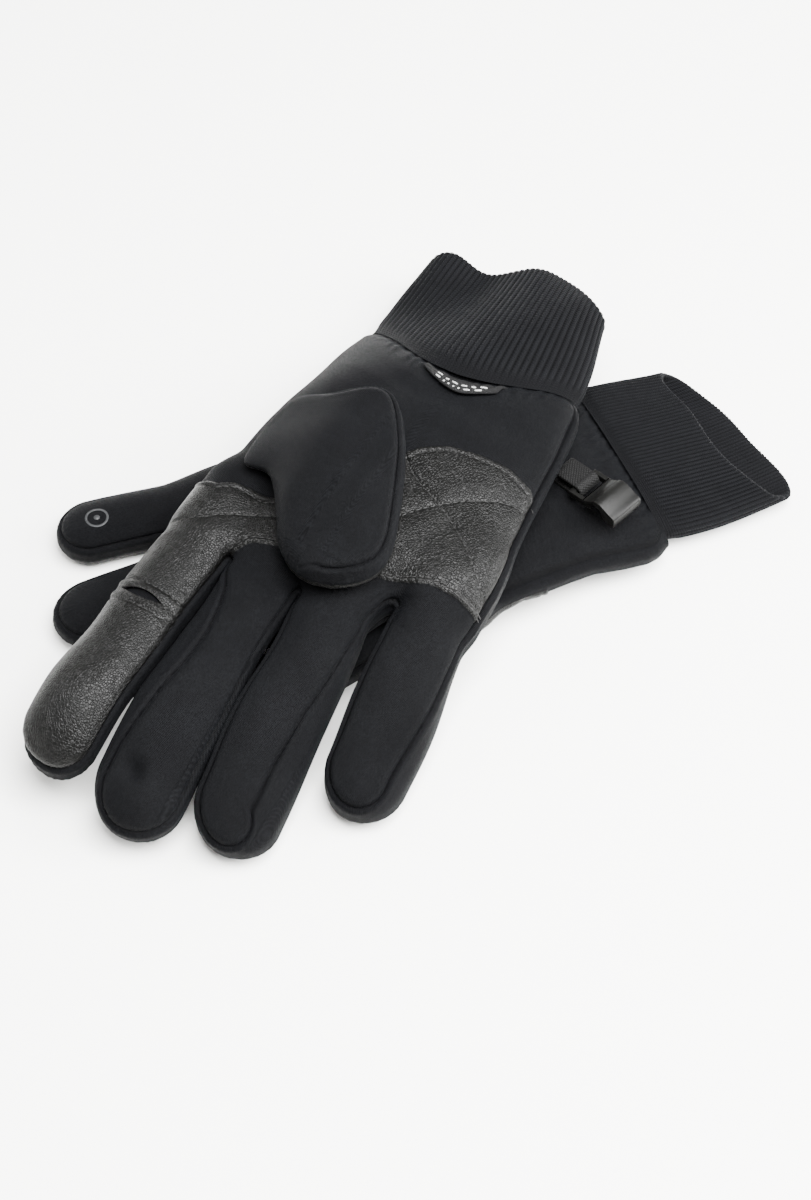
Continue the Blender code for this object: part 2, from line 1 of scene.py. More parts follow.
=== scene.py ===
"""Visual model of a pair of flip-top gloves: softshell, leather, rib knit, sewn seams and a plastic hook.

Each glove is described in its own frame, in millimetres: u runs from the wrist seam to the fingertips, v from
the index side to the little-finger side, and w rises from the glove's middle layer towards its palm side.
"""

import json
import math

import bmesh
import bpy
import numpy as np
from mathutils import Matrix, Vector
from mathutils.bvhtree import BVHTree


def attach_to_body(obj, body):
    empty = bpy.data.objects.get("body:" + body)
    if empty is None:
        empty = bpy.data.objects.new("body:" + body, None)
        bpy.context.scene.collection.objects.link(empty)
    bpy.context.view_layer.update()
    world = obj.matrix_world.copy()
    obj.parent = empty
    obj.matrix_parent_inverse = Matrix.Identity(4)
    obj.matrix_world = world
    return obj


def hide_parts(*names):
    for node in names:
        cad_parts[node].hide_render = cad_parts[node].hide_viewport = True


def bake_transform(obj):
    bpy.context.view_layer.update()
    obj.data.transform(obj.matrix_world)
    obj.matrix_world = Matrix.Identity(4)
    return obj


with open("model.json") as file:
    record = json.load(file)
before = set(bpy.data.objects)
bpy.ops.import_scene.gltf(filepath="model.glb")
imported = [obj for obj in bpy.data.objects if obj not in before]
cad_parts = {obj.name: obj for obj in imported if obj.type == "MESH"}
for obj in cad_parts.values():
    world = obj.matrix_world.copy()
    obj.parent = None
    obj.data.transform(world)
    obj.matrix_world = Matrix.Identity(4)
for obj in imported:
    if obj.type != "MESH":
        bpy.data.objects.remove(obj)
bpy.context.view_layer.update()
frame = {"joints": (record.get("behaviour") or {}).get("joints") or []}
joints = {joint["name"]: joint for joint in frame["joints"]}

MM = 0.001

# ---------------------------------------------------------------- driving dimensions
HAND_U = (0.0, 10.0, 30.0, 60.0, 90.0, 122.0)
CENTRE_U = (-55.0, 0.0, 15.0, 40.0, 95.0, 124.0, 165.0)
INDEX_EDGE = (-49.5, -49.5, -48.5, -48.0, -49.8, -53.0)
HAND_POWER, FINGER_POWER = 2.6, 2.35
KNUCKLE_INDEX, KNUCKLE_LITTLE = 121.0, 107.0
STEP_FROM, STEP_TO = 24.0, 34.0
FINGERS = {
    "index": ((121.6, -40.2), None, (12.8, 13.3)),
    "middle": ((121.6, -12.9), (207.3, -9.0), (13.1, 15.4)),
    "ring": ((121.6, 14.4), (195.0, 21.8), (12.9, 14.9)),
    "little": ((107.4, 44.9), (161.3, 50.8), (13.4, 14.5)),
}
ROOT_INSIDE = 26.0
CUT_FROM_BASE = {"index": 4.0, "middle": 4.0, "ring": 4.0, "little": 5.0}
BEND_TO = 17.0

# Where each finger's front panel ends: distances along the finger, and degrees up from its side edge.
FRONT_RIGHT = {
    "index": ((0, 30, 80), (20, 26, 26)),
    "middle": ((0, 80), (25, 23)),
    "ring": ((0, 21, 40, 58, 73), (24, 43, 62, 72, 74)),
    "little": ((0, 26, 38, 51, 62), (22, 35, 47, 56, 58)),
}
FRONT_LEFT = {
    "index": ((0, 80), (3, 3)),
    "middle": ((4, 21, 33, 47, 66, 80), (42, 68, 76, 74, 62, 48)),
    "ring": ((0, 73), (32, 30)),
    "little": ((0, 62), (32, 30)),
}
FRONT_TIP = {"index": 22.0, "middle": 20.0, "ring": 22.0, "little": 26.0}

# Leather palm patch: its outline, which runs on along the index finger, and the lines quilted across it.
PATCH = (
    (104.0, -66.0), (102.3, -45.0), (99.0, -40.0), (98.0, -34.5), (98.0, -24.6), (80.0, -10.0), (54.8, 8.4),
    (48.7, 16.9), (46.6, 27.7), (45.7, 39.9), (48.1, 49.3), (52.4, 55.1), (56.0, 66.0), (102.3, 66.0),
    (101.3, 58.6), (100.8, 49.9), (102.0, 40.4), (105.8, 30.8), (107.7, 24.1), (110.0, 12.0), (112.5, 0.0),
    (115.3, -12.5), (117.7, -21.1), (120.7, -24.1), (124.0, -26.0), (128.0, -26.6), (240.0, -26.6),
    (240.0, -66.0),
)
QUILT_LINES = (
    ((90.0, 14.0), (80.0, 20.2), (74.7, 24.2), (67.2, 31.8), (61.2, 40.3), (57.7, 47.0), (57.0, 55.5)),
    ((58.0, 3.0), (66.8, 13.9), (72.2, 26.8), (79.7, 39.1), (89.5, 51.1), (94.9, 57.5)),
    ((121.5, -51.0), (117.6, -42.5), (112.6, -35.8), (107.9, -28.2), (104.6, -19.6), (100.0, -8.0)),
)
SLIT_U, SLIT_V, SLIT_HALF, SLIT_OPEN = 153.4, -42.5, 8.5, 3.6
LABEL_V, LABEL_HALF = 4.0, 15.0

# Dents in the right glove's palm side: depth, place and size.
HOLLOWS = (
    (2.6, 206.5, -11.5, 3.6), (-1.0, 212.6, -4.5, 7.0), (1.5, 118.0, 1.0, 8.0), (1.4, 108.0, 27.0, 7.0),
    (2.2, 97.0, -32.0, 7.0), (1.6, 5.0, 2.0, 12.0),
)

HEADING_U = (-55.0, 0.0, 50.0, 100.0, 160.0)
WRIST_STRAIGHTENS, CUFF_STRAIGHTENS, BOW_BLUR = 55.0, 50.0, 8.0
LOWEST = 0.37
SKIN_BOX = ((-1.0, -66.0, -14.0), (228.0, 70.0, 14.0))
REST_HEIGHT, LEAST_HEIGHT = 1.5, 0.15
DRAPE_HEIGHT, DRAPE_INNER, DRAPE_OUTER = 23.5, 42.0, 104.0
GLOVES = {
    "right": {
        "origin": (19.7, 61.4), "heading": (-120.9,) * 5, "palm": 1.0, "length": 1.0, "narrow": 1.0,
        "hand_half": (9.0, 10.0, 11.3, 11.3, 10.8, 9.4), "finger_half": 8.8,
        "centre": (9.0, 10.0, 11.4, 12.4, 12.4, 10.6, 9.2),
        "cuff_half": 8.4, "cuff_width": (45.5, 40.2), "cuff_shift": (-3.0, -1.0), "cuff_length": 44.5,
        "rim_slant": 8.0, "rim_lean": 0.12, "cuff_drift": 0.17,
        "seam_line": (
            (-52.0, -8.0), (-36.0, 0.0), (-18.0, 12.0), (-6.0, 14.5), (6.0, 13.0), (18.0, 9.0), (38.0, -0.5),
        ),
        "index_tip": (206.2, -39.8), "little_edge": (43.0, 47.0, 50.5, 55.0, 58.5, 60.0),
        "thumb_half": 7.2, "rib_pitch": 2.3, "step": 0.65, "wrap": 0.45,
    },
    "left": {
        "origin": (73.1, 29.0), "heading": (-144.3, -155.5, -162.5, -160.0, -158.0), "palm": -1.0,
        "length": 0.958, "narrow": 0.9,
        "hand_half": (7.6, 7.2, 6.8, 6.8, 6.8, 7.2), "finger_half": 7.9,
        "centre": (8.0, 9.5, 12.4, 15.6, 16.6, 15.6, 8.4),
        "cuff_half": 7.4, "cuff_width": (41.2, 39.5), "cuff_shift": (-4.2, 3.0), "cuff_length": 42.8,
        "rim_slant": 9.8, "rim_lean": 0.0, "cuff_drift": 0.0,
        "seam_line": ((-50.0, 0.0), (50.0, 0.0)),
        "index_tip": (196.5, -47.5), "little_edge": (43.0, 45.5, 44.8, 49.5, 55.5, 60.0),
        "thumb_half": 3.3, "rib_pitch": 1.9, "step": 0.8, "wrap": 0.0,
    },
}

# Relief across each kind of seam: height, distance from the seam and width of each ridge or groove.
FRONT_SEAM = ((-0.95, 0.0, 0.75), (0.28, 2.8, 1.8), (0.40, -1.8, 1.1))
BACK_SEAM = ((-0.8, 0.0, 0.75), (0.25, -2.4, 1.5))
THUMB_BACK_SEAM = ((-0.9, 0.0, 0.75), (0.25, 2.6, 1.7), (0.40, -1.7, 1.1))
THUMB_SIDE_SEAM = ((-0.8, 0.0, 0.75), (0.30, 1.8, 1.2), (0.30, -1.6, 0.9))
PATCH_EDGE = ((0.22, 0.9, 0.8), (-0.32, 2.2, 0.55))
SLIT_HEM = ((0.45, 2.6, 1.3), (-0.5, 4.6, 0.55))
SEAM_FROM_WRIST = (2.0, 14.0)

# Cuff: depth of its ribs, and how the right one's rim stands back and is lifted from the index side across.
RIB_DEPTH, RIB_STARTS = 0.34, (0.06, 0.16)
CUFF_TOP, CUFF_UNDER_SEAM, TYPICAL_HALVES, KNIT_LENGTH = 1.5, 1.9, (42.0, 8.0), 55.0
OUTER_ROWS, FOLD_ROWS, INNER_ROWS, CUFF_WALL = 26, 6, 18, 2.3
BAND_SHARES, BAND_INSET, BAND_COUNT = (0.0, -0.04, -0.08, -0.12), 3.2, 120
RIM_RIGHT = (
    (-44.0, 3.5), (-33.0, 2.5), (-19.0, 4.8), (-8.0, 3.0),
    (0.0, -1.0), (9.0, -3.0), (20.0, -2.0), (40.0, 3.5),
)
RIM_LIFT = ((-44.0, 1.5), (-34.0, 4.5), (-17.0, -1.0), (-3.0, 5.5), (6.0, 7.5), (20.0, 3.0), (34.0, 0.0))

# Thumb: the outline of the pouch folded over the palm, and how full it is across the hand.
THUMB_OUTLINE = (
    (61.0, -42.0), (54.5, -27.0), (48.0, -16.0), (46.0, -9.5), (49.5, -3.0), (61.0, 6.0), (75.0, 14.0),
    (89.0, 20.5), (102.0, 25.5), (111.0, 25.8), (118.5, 21.0), (124.0, 12.5), (125.2, 2.0),
    (119.5, -8.5), (108.5, -16.5), (99.0, -24.0), (93.5, -31.0), (91.0, -42.0),
)
THUMB_EDGE_WIDTH, THUMB_FOLDED = 10.5, 0.3
LEAST_OFFSET = 0.02
THUMB_ROOT_V = -43.0
THUMB_BOX = ((40.0, -44.0, -4.0), (132.0, 33.0, 34.0))
THUMB_BACK_DEG, THUMB_LEATHER_DEG, THUMB_ROLL_DEG = 42.0, -14.0, 66.0
THUMB_NORMAL, THUMB_ROLLS, THUMB_SEAM_SHOWS = (-0.53, 0.848), (-72.0, -58.0), (-67.0, -56.0)


def smooth_step(value, low, high):
    """0 below low, 1 above high, and an even curve between them."""
    t = np.clip((value - low) / (high - low), 0.0, 1.0)
    return t * t * (3.0 - 2.0 * t)


def hump(value, width):
    return np.exp(-((value / width) ** 2))


def humps(value, table):
    return sum(height * hump(value - at, width) for height, at, width in table)


def smooth_union(a, b, reach):
    """The smaller of two distances, with a fillet of about reach where they meet."""
    h = np.clip(0.5 + 0.5 * (b - a) / reach, 0.0, 1.0)
    return b * (1.0 - h) + a * h - reach * h * (1.0 - h)


def ripple(at, size, seed):
    """Smooth irregular waves between about -1 and 1, as large as size."""
    rng = np.random.default_rng(seed)
    total = np.zeros(len(at))
    for _ in range(7):
        way = rng.normal(size=3)
        way *= rng.uniform(0.6, 1.5) / (np.linalg.norm(way) * size)
        total += np.sin(at @ way * 2 * math.pi + rng.uniform(0, 2 * math.pi))
    return total / 3.0


class Glove:
    """Places one glove's own coordinates in the world."""

    def __init__(self, name, lies_on=None):
        self.name, self.lies_on = name, lies_on
        for key, value in GLOVES[name].items():
            setattr(self, key, value)
        self.steps = np.linspace(-90.0, 240.0, 331)
        self.turn = np.radians(np.interp(self.steps, HEADING_U, self.heading))
        stride = (self.steps[1] - self.steps[0]) * self.length
        path = np.cumsum(np.stack([np.cos(self.turn), np.sin(self.turn)], 1) * stride, 0)
        self.path = path - path[int(np.argmin(abs(self.steps)))] + np.array(self.origin)

    def bow(self, v):
        """How far the wrist seam stands towards the fingers at v, with the corners of its line smoothed."""
        stops, reach = np.transpose(self.seam_line)
        return np.mean([np.interp(v + t * BOW_BLUR, stops, reach) for t in np.linspace(-1.0, 1.0, 9)], 0)

    def plan(self, u, v):
        """World plan position, in millimetres, of arrays of u and v."""
        v = v * self.narrow
        fade = 1.0 - smooth_step(np.abs(u), 0.0, np.where(u > 0, WRIST_STRAIGHTENS, CUFF_STRAIGHTENS))
        before = np.minimum(u, 0.0)
        along = u + fade * self.bow(v) - self.rim_lean * v * before / self.cuff_length
        across = v + self.cuff_drift * before
        x = np.interp(along, self.steps, self.path[:, 0])
        y = np.interp(along, self.steps, self.path[:, 1])
        turn = np.interp(along, self.steps, self.turn)
        return x - across * np.sin(turn), y + across * np.cos(turn)

    def support(self, x, y):
        """How high this glove is carried at plan points by the glove it lies on."""
        if self.lies_on is None:
            return np.zeros_like(x)
        body = self.lies_on
        path = body.path[(body.steps > -12.0) & (body.steps < 196.0)]
        nearest = np.full(x.shape, 1e9)
        for px, py in path[::2]:
            nearest = np.minimum(nearest, (x - px) ** 2 + (y - py) ** 2)
        return DRAPE_HEIGHT * (1.0 - smooth_step(np.sqrt(nearest), DRAPE_INNER, DRAPE_OUTER))

    def world(self, points):
        """World positions, in metres, of an array of (u, v, w)."""
        u, v, w = np.asarray(points, float).reshape(-1, 3).T
        x, y = self.plan(u, v)
        height = np.interp(u, CENTRE_U, self.centre) + self.support(x, y) + self.palm * w - LOWEST
        room = REST_HEIGHT - LEAST_HEIGHT
        pressed = LEAST_HEIGHT + room * np.exp(np.minimum(height - REST_HEIGHT, 0.0) / room)
        return np.stack([x, y, np.where(height < REST_HEIGHT, pressed, height)], 1) * MM

    def finger(self, name):
        """Base, tip centre, direction, crosswise direction, length and half widths of a finger."""
        base, tip, half = (np.array(part or self.index_tip) for part in FINGERS[name])
        along = (tip - base) / np.linalg.norm(tip - base)
        return base, tip, along, np.array([-along[1], along[0]]), np.linalg.norm(tip - base), half

    def on_finger(self, name, u, v):
        """Distance along a finger, across it, from its spine, and its half width there."""
        base, _, along, across, length, half = self.finger(name)
        run = (u - base[0]) * along[0] + (v - base[1]) * along[1]
        side = (u - base[0]) * across[0] + (v - base[1]) * across[1]
        stop = np.clip(run, -ROOT_INSIDE, length)
        tall = self.finger_half * (1.0 - 0.10 * smooth_step(stop, length - 30.0, length))
        return run, side, np.hypot(run - stop, side), np.interp(stop, (0.0, length), half), tall


left = Glove("left")
right = Glove("right", lies_on=left)


# ---------------------------------------------------------------- glove shape
def section(x, y, wide, tall, power):
    """Distance to a flattened round section: x and y are shares of the half width and half height."""
    x, y = np.abs(x) + 1e-6, np.abs(y) + 1e-6
    r = (x**power + y**power) ** (1.0 / power)
    slope = np.hypot((x / r) ** (power - 1.0) / wide, (y / r) ** (power - 1.0) / tall)
    return (r - 1.0) / slope


def hand_distance(glove, u, v, w):
    low, high = np.interp(u, HAND_U, INDEX_EDGE), np.interp(u, HAND_U, glove.little_edge)
    half = np.interp(u, HAND_U, glove.hand_half)
    tuck = 2.4 * (1.0 - smooth_step(u, -1.0, 6.5))
    wide = (high - low) / 2 - tuck
    half = half - tuck
    body = section((v - (low + high) / 2) / wide, w / half, wide, half, HAND_POWER)
    end = KNUCKLE_INDEX + (KNUCKLE_LITTLE - KNUCKLE_INDEX) * smooth_step(v, STEP_FROM, STEP_TO)
    return -smooth_union(-body, end - u, 6.0)


def finger_distance(glove, name, u, v, w):
    _, _, reach, wide, tall = glove.on_finger(name, u, v)
    return section(reach / wide, w / tall, wide, tall, FINGER_POWER)


def glove_distance(glove, u, v, w):
    """Distance to the whole glove's skin, without its thumb."""
    fingers = finger_distance(glove, "index", u, v, w)
    for name in ("middle", "ring", "little"):
        fingers = smooth_union(fingers, finger_distance(glove, name, u, v, w), 0.8)
    return smooth_union(hand_distance(glove, u, v, w), fingers, 5.0)


def edge_distance(points, a, b):
    """Distance in the plane from points to the straight edge between a and b."""
    span = b - a
    t = np.clip(((points - a) @ span) / (span @ span), 0.0, 1.0)
    return np.linalg.norm(points - a - t[:, None] * span, axis=1)


def line_distance(points, line):
    """Distance to an open line in the plane."""
    corners = np.array(line, float)
    return np.min([edge_distance(points, a, b) for a, b in zip(corners[:-1], corners[1:])], 0)


def polygon_distance(points, outline):
    """Distance to a closed outline in the plane, positive inside."""
    corners = np.array(outline, float)
    inside = np.zeros(len(points), bool)
    for a, b in zip(corners, np.roll(corners, -1, 0)):
        crosses = (a[1] > points[:, 1]) != (b[1] > points[:, 1])
        with np.errstate(divide="ignore", invalid="ignore"):
            at = a[0] + (points[:, 1] - a[1]) / (b[1] - a[1]) * (b[0] - a[0])
        inside ^= crosses & (points[:, 0] < at)
    nearest = line_distance(points, np.vstack([corners, corners[:1]]))
    return np.where(inside, nearest, -nearest)


def inward_distance(points, outline):
    """Distance inwards from a closed outline, eased so that it has no crease along the middle.

    It is the distance whose inverse fourth powers add up along a straight edge as they do along the outline.
    """
    corners = np.array(outline, float)
    pull = np.zeros(len(points))
    for a, b in zip(corners, np.roll(corners, -1, 0)):
        length = np.linalg.norm(b - a)
        way = (b - a) / length
        start = (a - points) @ way
        off = np.maximum(np.abs((points - a) @ np.array([-way[1], way[0]])), LEAST_OFFSET)
        for run, sign in ((start + length, 1.0), (start, -1.0)):
            pull += sign * (run / (2 * off**2 * (off**2 + run**2)) + np.arctan(run / off) / (2 * off**3))
    plain = polygon_distance(points, outline)
    return np.where(plain > 0, (pull * 2 / math.pi) ** (-1 / 3), plain)


def curve(points, spacing, closed=False):
    """Points spaced evenly along a smooth line through the given ones."""
    p = np.array(points, float)
    if closed:
        p = np.vstack([p[-1], p, p[:2]])
    else:
        p = np.vstack([2 * p[0] - p[1], p, 2 * p[-1] - p[-2]])
    t = np.linspace(0.0, 1.0, 13)[:-1, None]
    run = []
    for a, b, c, d in zip(p[:-3], p[1:-2], p[2:-1], p[3:]):
        run.append(b + 0.5 * (c - a) * t + (a - 2.5 * b + 2 * c - 0.5 * d) * t**2
                   + (1.5 * b - 0.5 * a - 1.5 * c + 0.5 * d) * t**3)
    run = np.vstack(run + [p[-2:-1]])
    length = np.concatenate([[0.0], np.cumsum(np.linalg.norm(np.diff(run, axis=0), axis=1))])
    stops = np.linspace(0.0, length[-1], max(int(round(length[-1] / spacing)), 1) + 1)
    return np.stack([np.interp(stops, length, run[:, k]) for k in range(run.shape[1])], 1)


THUMB_EDGE = curve(THUMB_OUTLINE, 2.5, closed=True)[:-1]


def palm_height(glove, u, v):
    low, high = np.interp(u, HAND_U, INDEX_EDGE), np.interp(u, HAND_U, glove.little_edge)
    share = np.clip((2 * v - low - high) / (high - low), -0.93, 0.93)
    return np.interp(u, HAND_U, glove.hand_half) * (1.0 - np.abs(share) ** HAND_POWER) ** (1.0 / HAND_POWER)


def thumb_section(glove, u, v, w):
    """Share of the way out from the thumb's middle to its edge, share of its half height, and that height."""
    inward = inward_distance(np.stack([u, v], 1), THUMB_EDGE)
    full = THUMB_FOLDED + (1.0 - THUMB_FOLDED) * smooth_step(v, -48.0, -12.0)
    tall = glove.thumb_half * full * (1.0 + 0.08 * smooth_step(inward, 5.0, 20.0))
    middle = palm_height(glove, u, v) + 1.9 + tall * 0.97
    return np.maximum(1.0 - inward / THUMB_EDGE_WIDTH, 0.0), (w - middle) / tall, tall


def thumb_distance(glove, u, v, w):
    x, y, tall = thumb_section(glove, u, v, w)
    return section(x, y, THUMB_EDGE_WIDTH, tall, 2.5)


def thumb_angle(glove, u, v, w):
    """Degrees up from the thumb's edge, and the millimetres that a degree spans there."""
    x, y, tall = thumb_section(glove, u, v, w)
    angle = np.degrees(np.arctan2(np.abs(y) ** 1.25 * np.sign(y), np.maximum(x, 1e-6) ** 1.25))
    turn = np.radians(angle)
    return angle, np.hypot(THUMB_EDGE_WIDTH * np.sin(turn), tall * np.cos(turn)) * math.pi / 180


def back_seam(u, v):
    """Degrees up from the thumb's edge to its back seam, and how far that seam shows."""
    across = THUMB_NORMAL[0] * u + THUMB_NORMAL[1] * v
    rolled = 1.0 - smooth_step(across, *THUMB_ROLLS)
    return THUMB_BACK_DEG - THUMB_ROLL_DEG * rolled, smooth_step(across, *THUMB_SEAM_SHOWS)


def surface_nets(values, origin, step):
    """A quad mesh of the zero surface of a grid of distances."""
    cells = np.array(values.shape) - 1
    total, count = np.zeros((*cells, 3)), np.zeros(cells)
    crossings = []
    for axis in range(3):
        first = tuple(slice(0, -1) if k == axis else slice(None) for k in range(3))
        second = tuple(slice(1, None) if k == axis else slice(None) for k in range(3))
        a, b = values[first], values[second]
        where = np.argwhere((a < 0) != (b < 0))
        t = a[tuple(where.T)] / (a[tuple(where.T)] - b[tuple(where.T)])
        spot = where.astype(float)
        spot[:, axis] += t
        others = [k for k in range(3) if k != axis]
        ring = []
        for shift in ((0, 0), (-1, 0), (-1, -1), (0, -1)):
            cell = where.copy()
            cell[:, others[0]] += shift[0]
            cell[:, others[1]] += shift[1]
            good = ((cell >= 0) & (cell < cells)).all(1)
            np.add.at(total, tuple(cell[good].T), spot[good])
            np.add.at(count, tuple(cell[good].T), 1.0)
            ring.append((cell, good))
        inside = a[tuple(where.T)] < 0
        crossings.append((ring, inside if axis != 1 else ~inside))
    used = count > 0
    number = np.full(cells, -1)
    number[used] = np.arange(used.sum())
    points = total[used] / count[used][:, None] * step + origin
    faces = []
    for ring, facing in crossings:
        corners = []
        for cell, good in ring:
            index = np.full(len(cell), -1)
            index[good] = number[tuple(cell[good].T)]
            corners.append(index)
        quads = np.stack(corners, 1)
        quads = np.where(facing[:, None], quads, quads[:, ::-1])
        faces.append(quads[(quads >= 0).all(1)])
    return points, np.concatenate(faces)


def slopes(distance, points, step=0.25):
    """Unit normals of a distance field at points, and how steep it is."""
    gradient = np.zeros_like(points)
    for k in range(3):
        shift = np.zeros(3)
        shift[k] = step
        gradient[:, k] = (distance(*(points + shift).T) - distance(*(points - shift).T)) / (2 * step)
    steep = np.linalg.norm(gradient, axis=1)
    return gradient / np.maximum(steep, 1e-6)[:, None], steep


def skin_of(distance, low, high, step):
    """The zero surface of a distance field inside a box, as points and triangles with their normals."""
    low = np.array(low)
    blocks = np.ceil((np.array(high) - low) / (4 * step)).astype(int)
    middles = [low[k] + (np.arange(blocks[k]) + 0.5) * 4 * step for k in range(3)]
    coarse = np.stack(np.meshgrid(*middles, indexing="ij"), -1).reshape(-1, 3)
    rough = distance(*coarse.T).reshape(blocks)
    for axis in range(3):
        rough = rough.repeat(4, axis)
    near = np.argwhere(np.abs(rough) < 7 * step)
    rough[tuple(near.T)] = distance(*(low + near * step).T)
    points, quads = surface_nets(rough, low, step)
    for _ in range(3):
        normals, steep = slopes(distance, points)
        gap = distance(*points.T) / np.maximum(steep, 0.3)
        points = points - normals * np.clip(gap, -step, step)[:, None]
    return points, split_quads(quads), slopes(distance, points)[0]


def relaxed(points, tri, rounds):
    """The points of a skin evened out with their neighbours."""
    pairs = np.concatenate([tri[:, [0, 1]], tri[:, [1, 2]], tri[:, [2, 0]]])
    count = np.bincount(pairs[:, 0], minlength=len(points))[:, None]
    for _ in range(rounds):
        total = [np.bincount(pairs[:, 0], points[pairs[:, 1], k], len(points)) for k in range(3)]
        points = 0.4 * points + 0.6 * np.stack(total, 1) / np.maximum(count, 1)
    return points


def vertex_normals(points, tri):
    face = np.cross(points[tri[:, 1]] - points[tri[:, 0]], points[tri[:, 2]] - points[tri[:, 0]])
    normals = np.zeros_like(points)
    for k in range(3):
        np.add.at(normals, tri[:, k], face)
    return normals / np.maximum(np.linalg.norm(normals, axis=1), 1e-12)[:, None]


# ---------------------------------------------------------------- skins that carry values at their points
def clip(skin, value):
    """The part of a skin where value is positive. Triangles are cut where it is zero."""
    data, tri = skin
    value = np.where(np.abs(value) < 0.03, 0.03, value)
    inside = value > 0
    count = inside[tri].sum(1)
    parts, pairs = [tri[count == 3]], []
    total = len(value)
    groups = []
    for want in (1, 2):
        part = tri[count == want]
        lone = inside[part] if want == 1 else ~inside[part]
        part = np.take_along_axis(part, (lone.argmax(1)[:, None] + np.arange(3)) % 3, 1)
        groups.append(part)
        pairs += [part[:, [0, 1]], part[:, [0, 2]]]
    edges, index = np.unique(np.sort(np.concatenate(pairs), 1), axis=0, return_inverse=True)
    index = index.reshape(-1) + total
    sizes = np.cumsum([0] + [len(pair) for pair in pairs])
    ab1, ac1, ab2, ac2 = (index[a:b] for a, b in zip(sizes[:-1], sizes[1:]))
    parts.append(np.stack([groups[0][:, 0], ab1, ac1], 1))
    parts.append(np.stack([ab2, groups[1][:, 1], groups[1][:, 2]], 1))
    parts.append(np.stack([ab2, groups[1][:, 2], ac2], 1))
    t = value[edges[:, 0]] / (value[edges[:, 0]] - value[edges[:, 1]])
    tri = np.concatenate(parts)
    used = np.unique(tri)
    number = np.full(total + len(edges), -1)
    number[used] = np.arange(len(used))
    made = {}
    for key, old in data.items():
        share = t.reshape(-1, *([1] * (old.ndim - 1)))
        new = old[edges[:, 0]] * (1 - share) + old[edges[:, 1]] * share
        made[key] = np.concatenate([old, new])[used]
    return made, number[tri]


def thicken(points, normals, tri, thickness, whole=True):
    """Adds an inner skin, or only a turned-in edge, below an open one. Also returns each point's source."""
    pairs = np.concatenate([tri[:, [0, 1]], tri[:, [1, 2]], tri[:, [2, 0]]])
    _, index, count = np.unique(np.sort(pairs, 1), axis=0, return_inverse=True, return_counts=True)
    border = pairs[count[index.reshape(-1)] == 1]
    source = np.arange(len(points)) if whole else np.unique(border)
    number = np.full(len(points), -1)
    number[source] = len(points) + np.arange(len(source))
    a, b = border.T
    rim = np.concatenate([np.stack([b, a, number[a]], 1), np.stack([b, number[a], number[b]], 1)])
    inner = points[source] - normals[source] * thickness
    faces = [tri, rim] + ([number[tri[:, ::-1]]] if whole else [])
    source = np.concatenate([np.arange(len(points)), source])
    return np.concatenate([points, inner]), np.concatenate(faces), source


def grid_faces(rows, columns, join_rows=False, join_columns=False):
    """Quads over a grid of points. The grid closes on itself where its rows or columns are joined."""
    index = np.arange(rows * columns).reshape(rows, columns)
    if join_rows:
        index = np.vstack([index, index[:1]])
    if join_columns:
        index = np.hstack([index, index[:, :1]])
    return np.stack([index[:-1, :-1], index[1:, :-1], index[1:, 1:], index[:-1, 1:]], -1).reshape(-1, 4)


def split_quads(quads):
    return np.concatenate([quads[:, [0, 1, 2]], quads[:, [0, 2, 3]]])


def mesh_object(name, points, faces, finish, **values):
    """A smooth mesh in the world whose points carry values for the material."""
    mesh = bpy.data.meshes.new(name)
    mesh.from_pydata(np.asarray(points).tolist(), [], faces if isinstance(faces, list) else faces.tolist())
    mesh.materials.append(finish)
    mesh.shade_smooth()
    for key, value in values.items():
        value = np.asarray(value, np.float32)
        kind, slot = ("FLOAT_VECTOR", "vector") if value.ndim == 2 else ("FLOAT", "value")
        mesh.attributes.new(key, kind, "POINT").data.foreach_set(slot, value.ravel())
    made = bpy.data.objects.new(name, mesh)
    bpy.context.scene.collection.objects.link(made)
    return made


def attach(made, glove, part, slot, *nodes):
    """Sets the body a piece rides on, or fixes a finger or thumb piece in place in the world, and hides the
    nodes it stands for. Slot, the piece's finish, is not used.
    """
    side = glove.name
    if glove is left:
        bodies = {"hood": "left_fingertip_hood", "loop": "left_loop", "hook": "left_hook"}
        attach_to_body(made, bodies.get(part, "left_glove"))
    elif part in FINGERS:
        base, _, along, _, _, _ = glove.finger(part)
        start, end = (base + along * run for run in (CUT_FROM_BASE[part], BEND_TO))
        level = glove.finger_half
        points = glove.world([(*start, level), (*end, level)])
        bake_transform(made)
    elif part == "thumb":
        points = glove.world([(75.0, -42.0, 10.0), (75.0, -30.0, 10.0)])
        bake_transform(made)
    else:
        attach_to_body(made, {"hood": "right_fingertip_hood", "label": "right_label"}.get(part, "right_glove"))
    if nodes:
        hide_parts(*(f"{side}_{node}" for node in nodes))
    return made


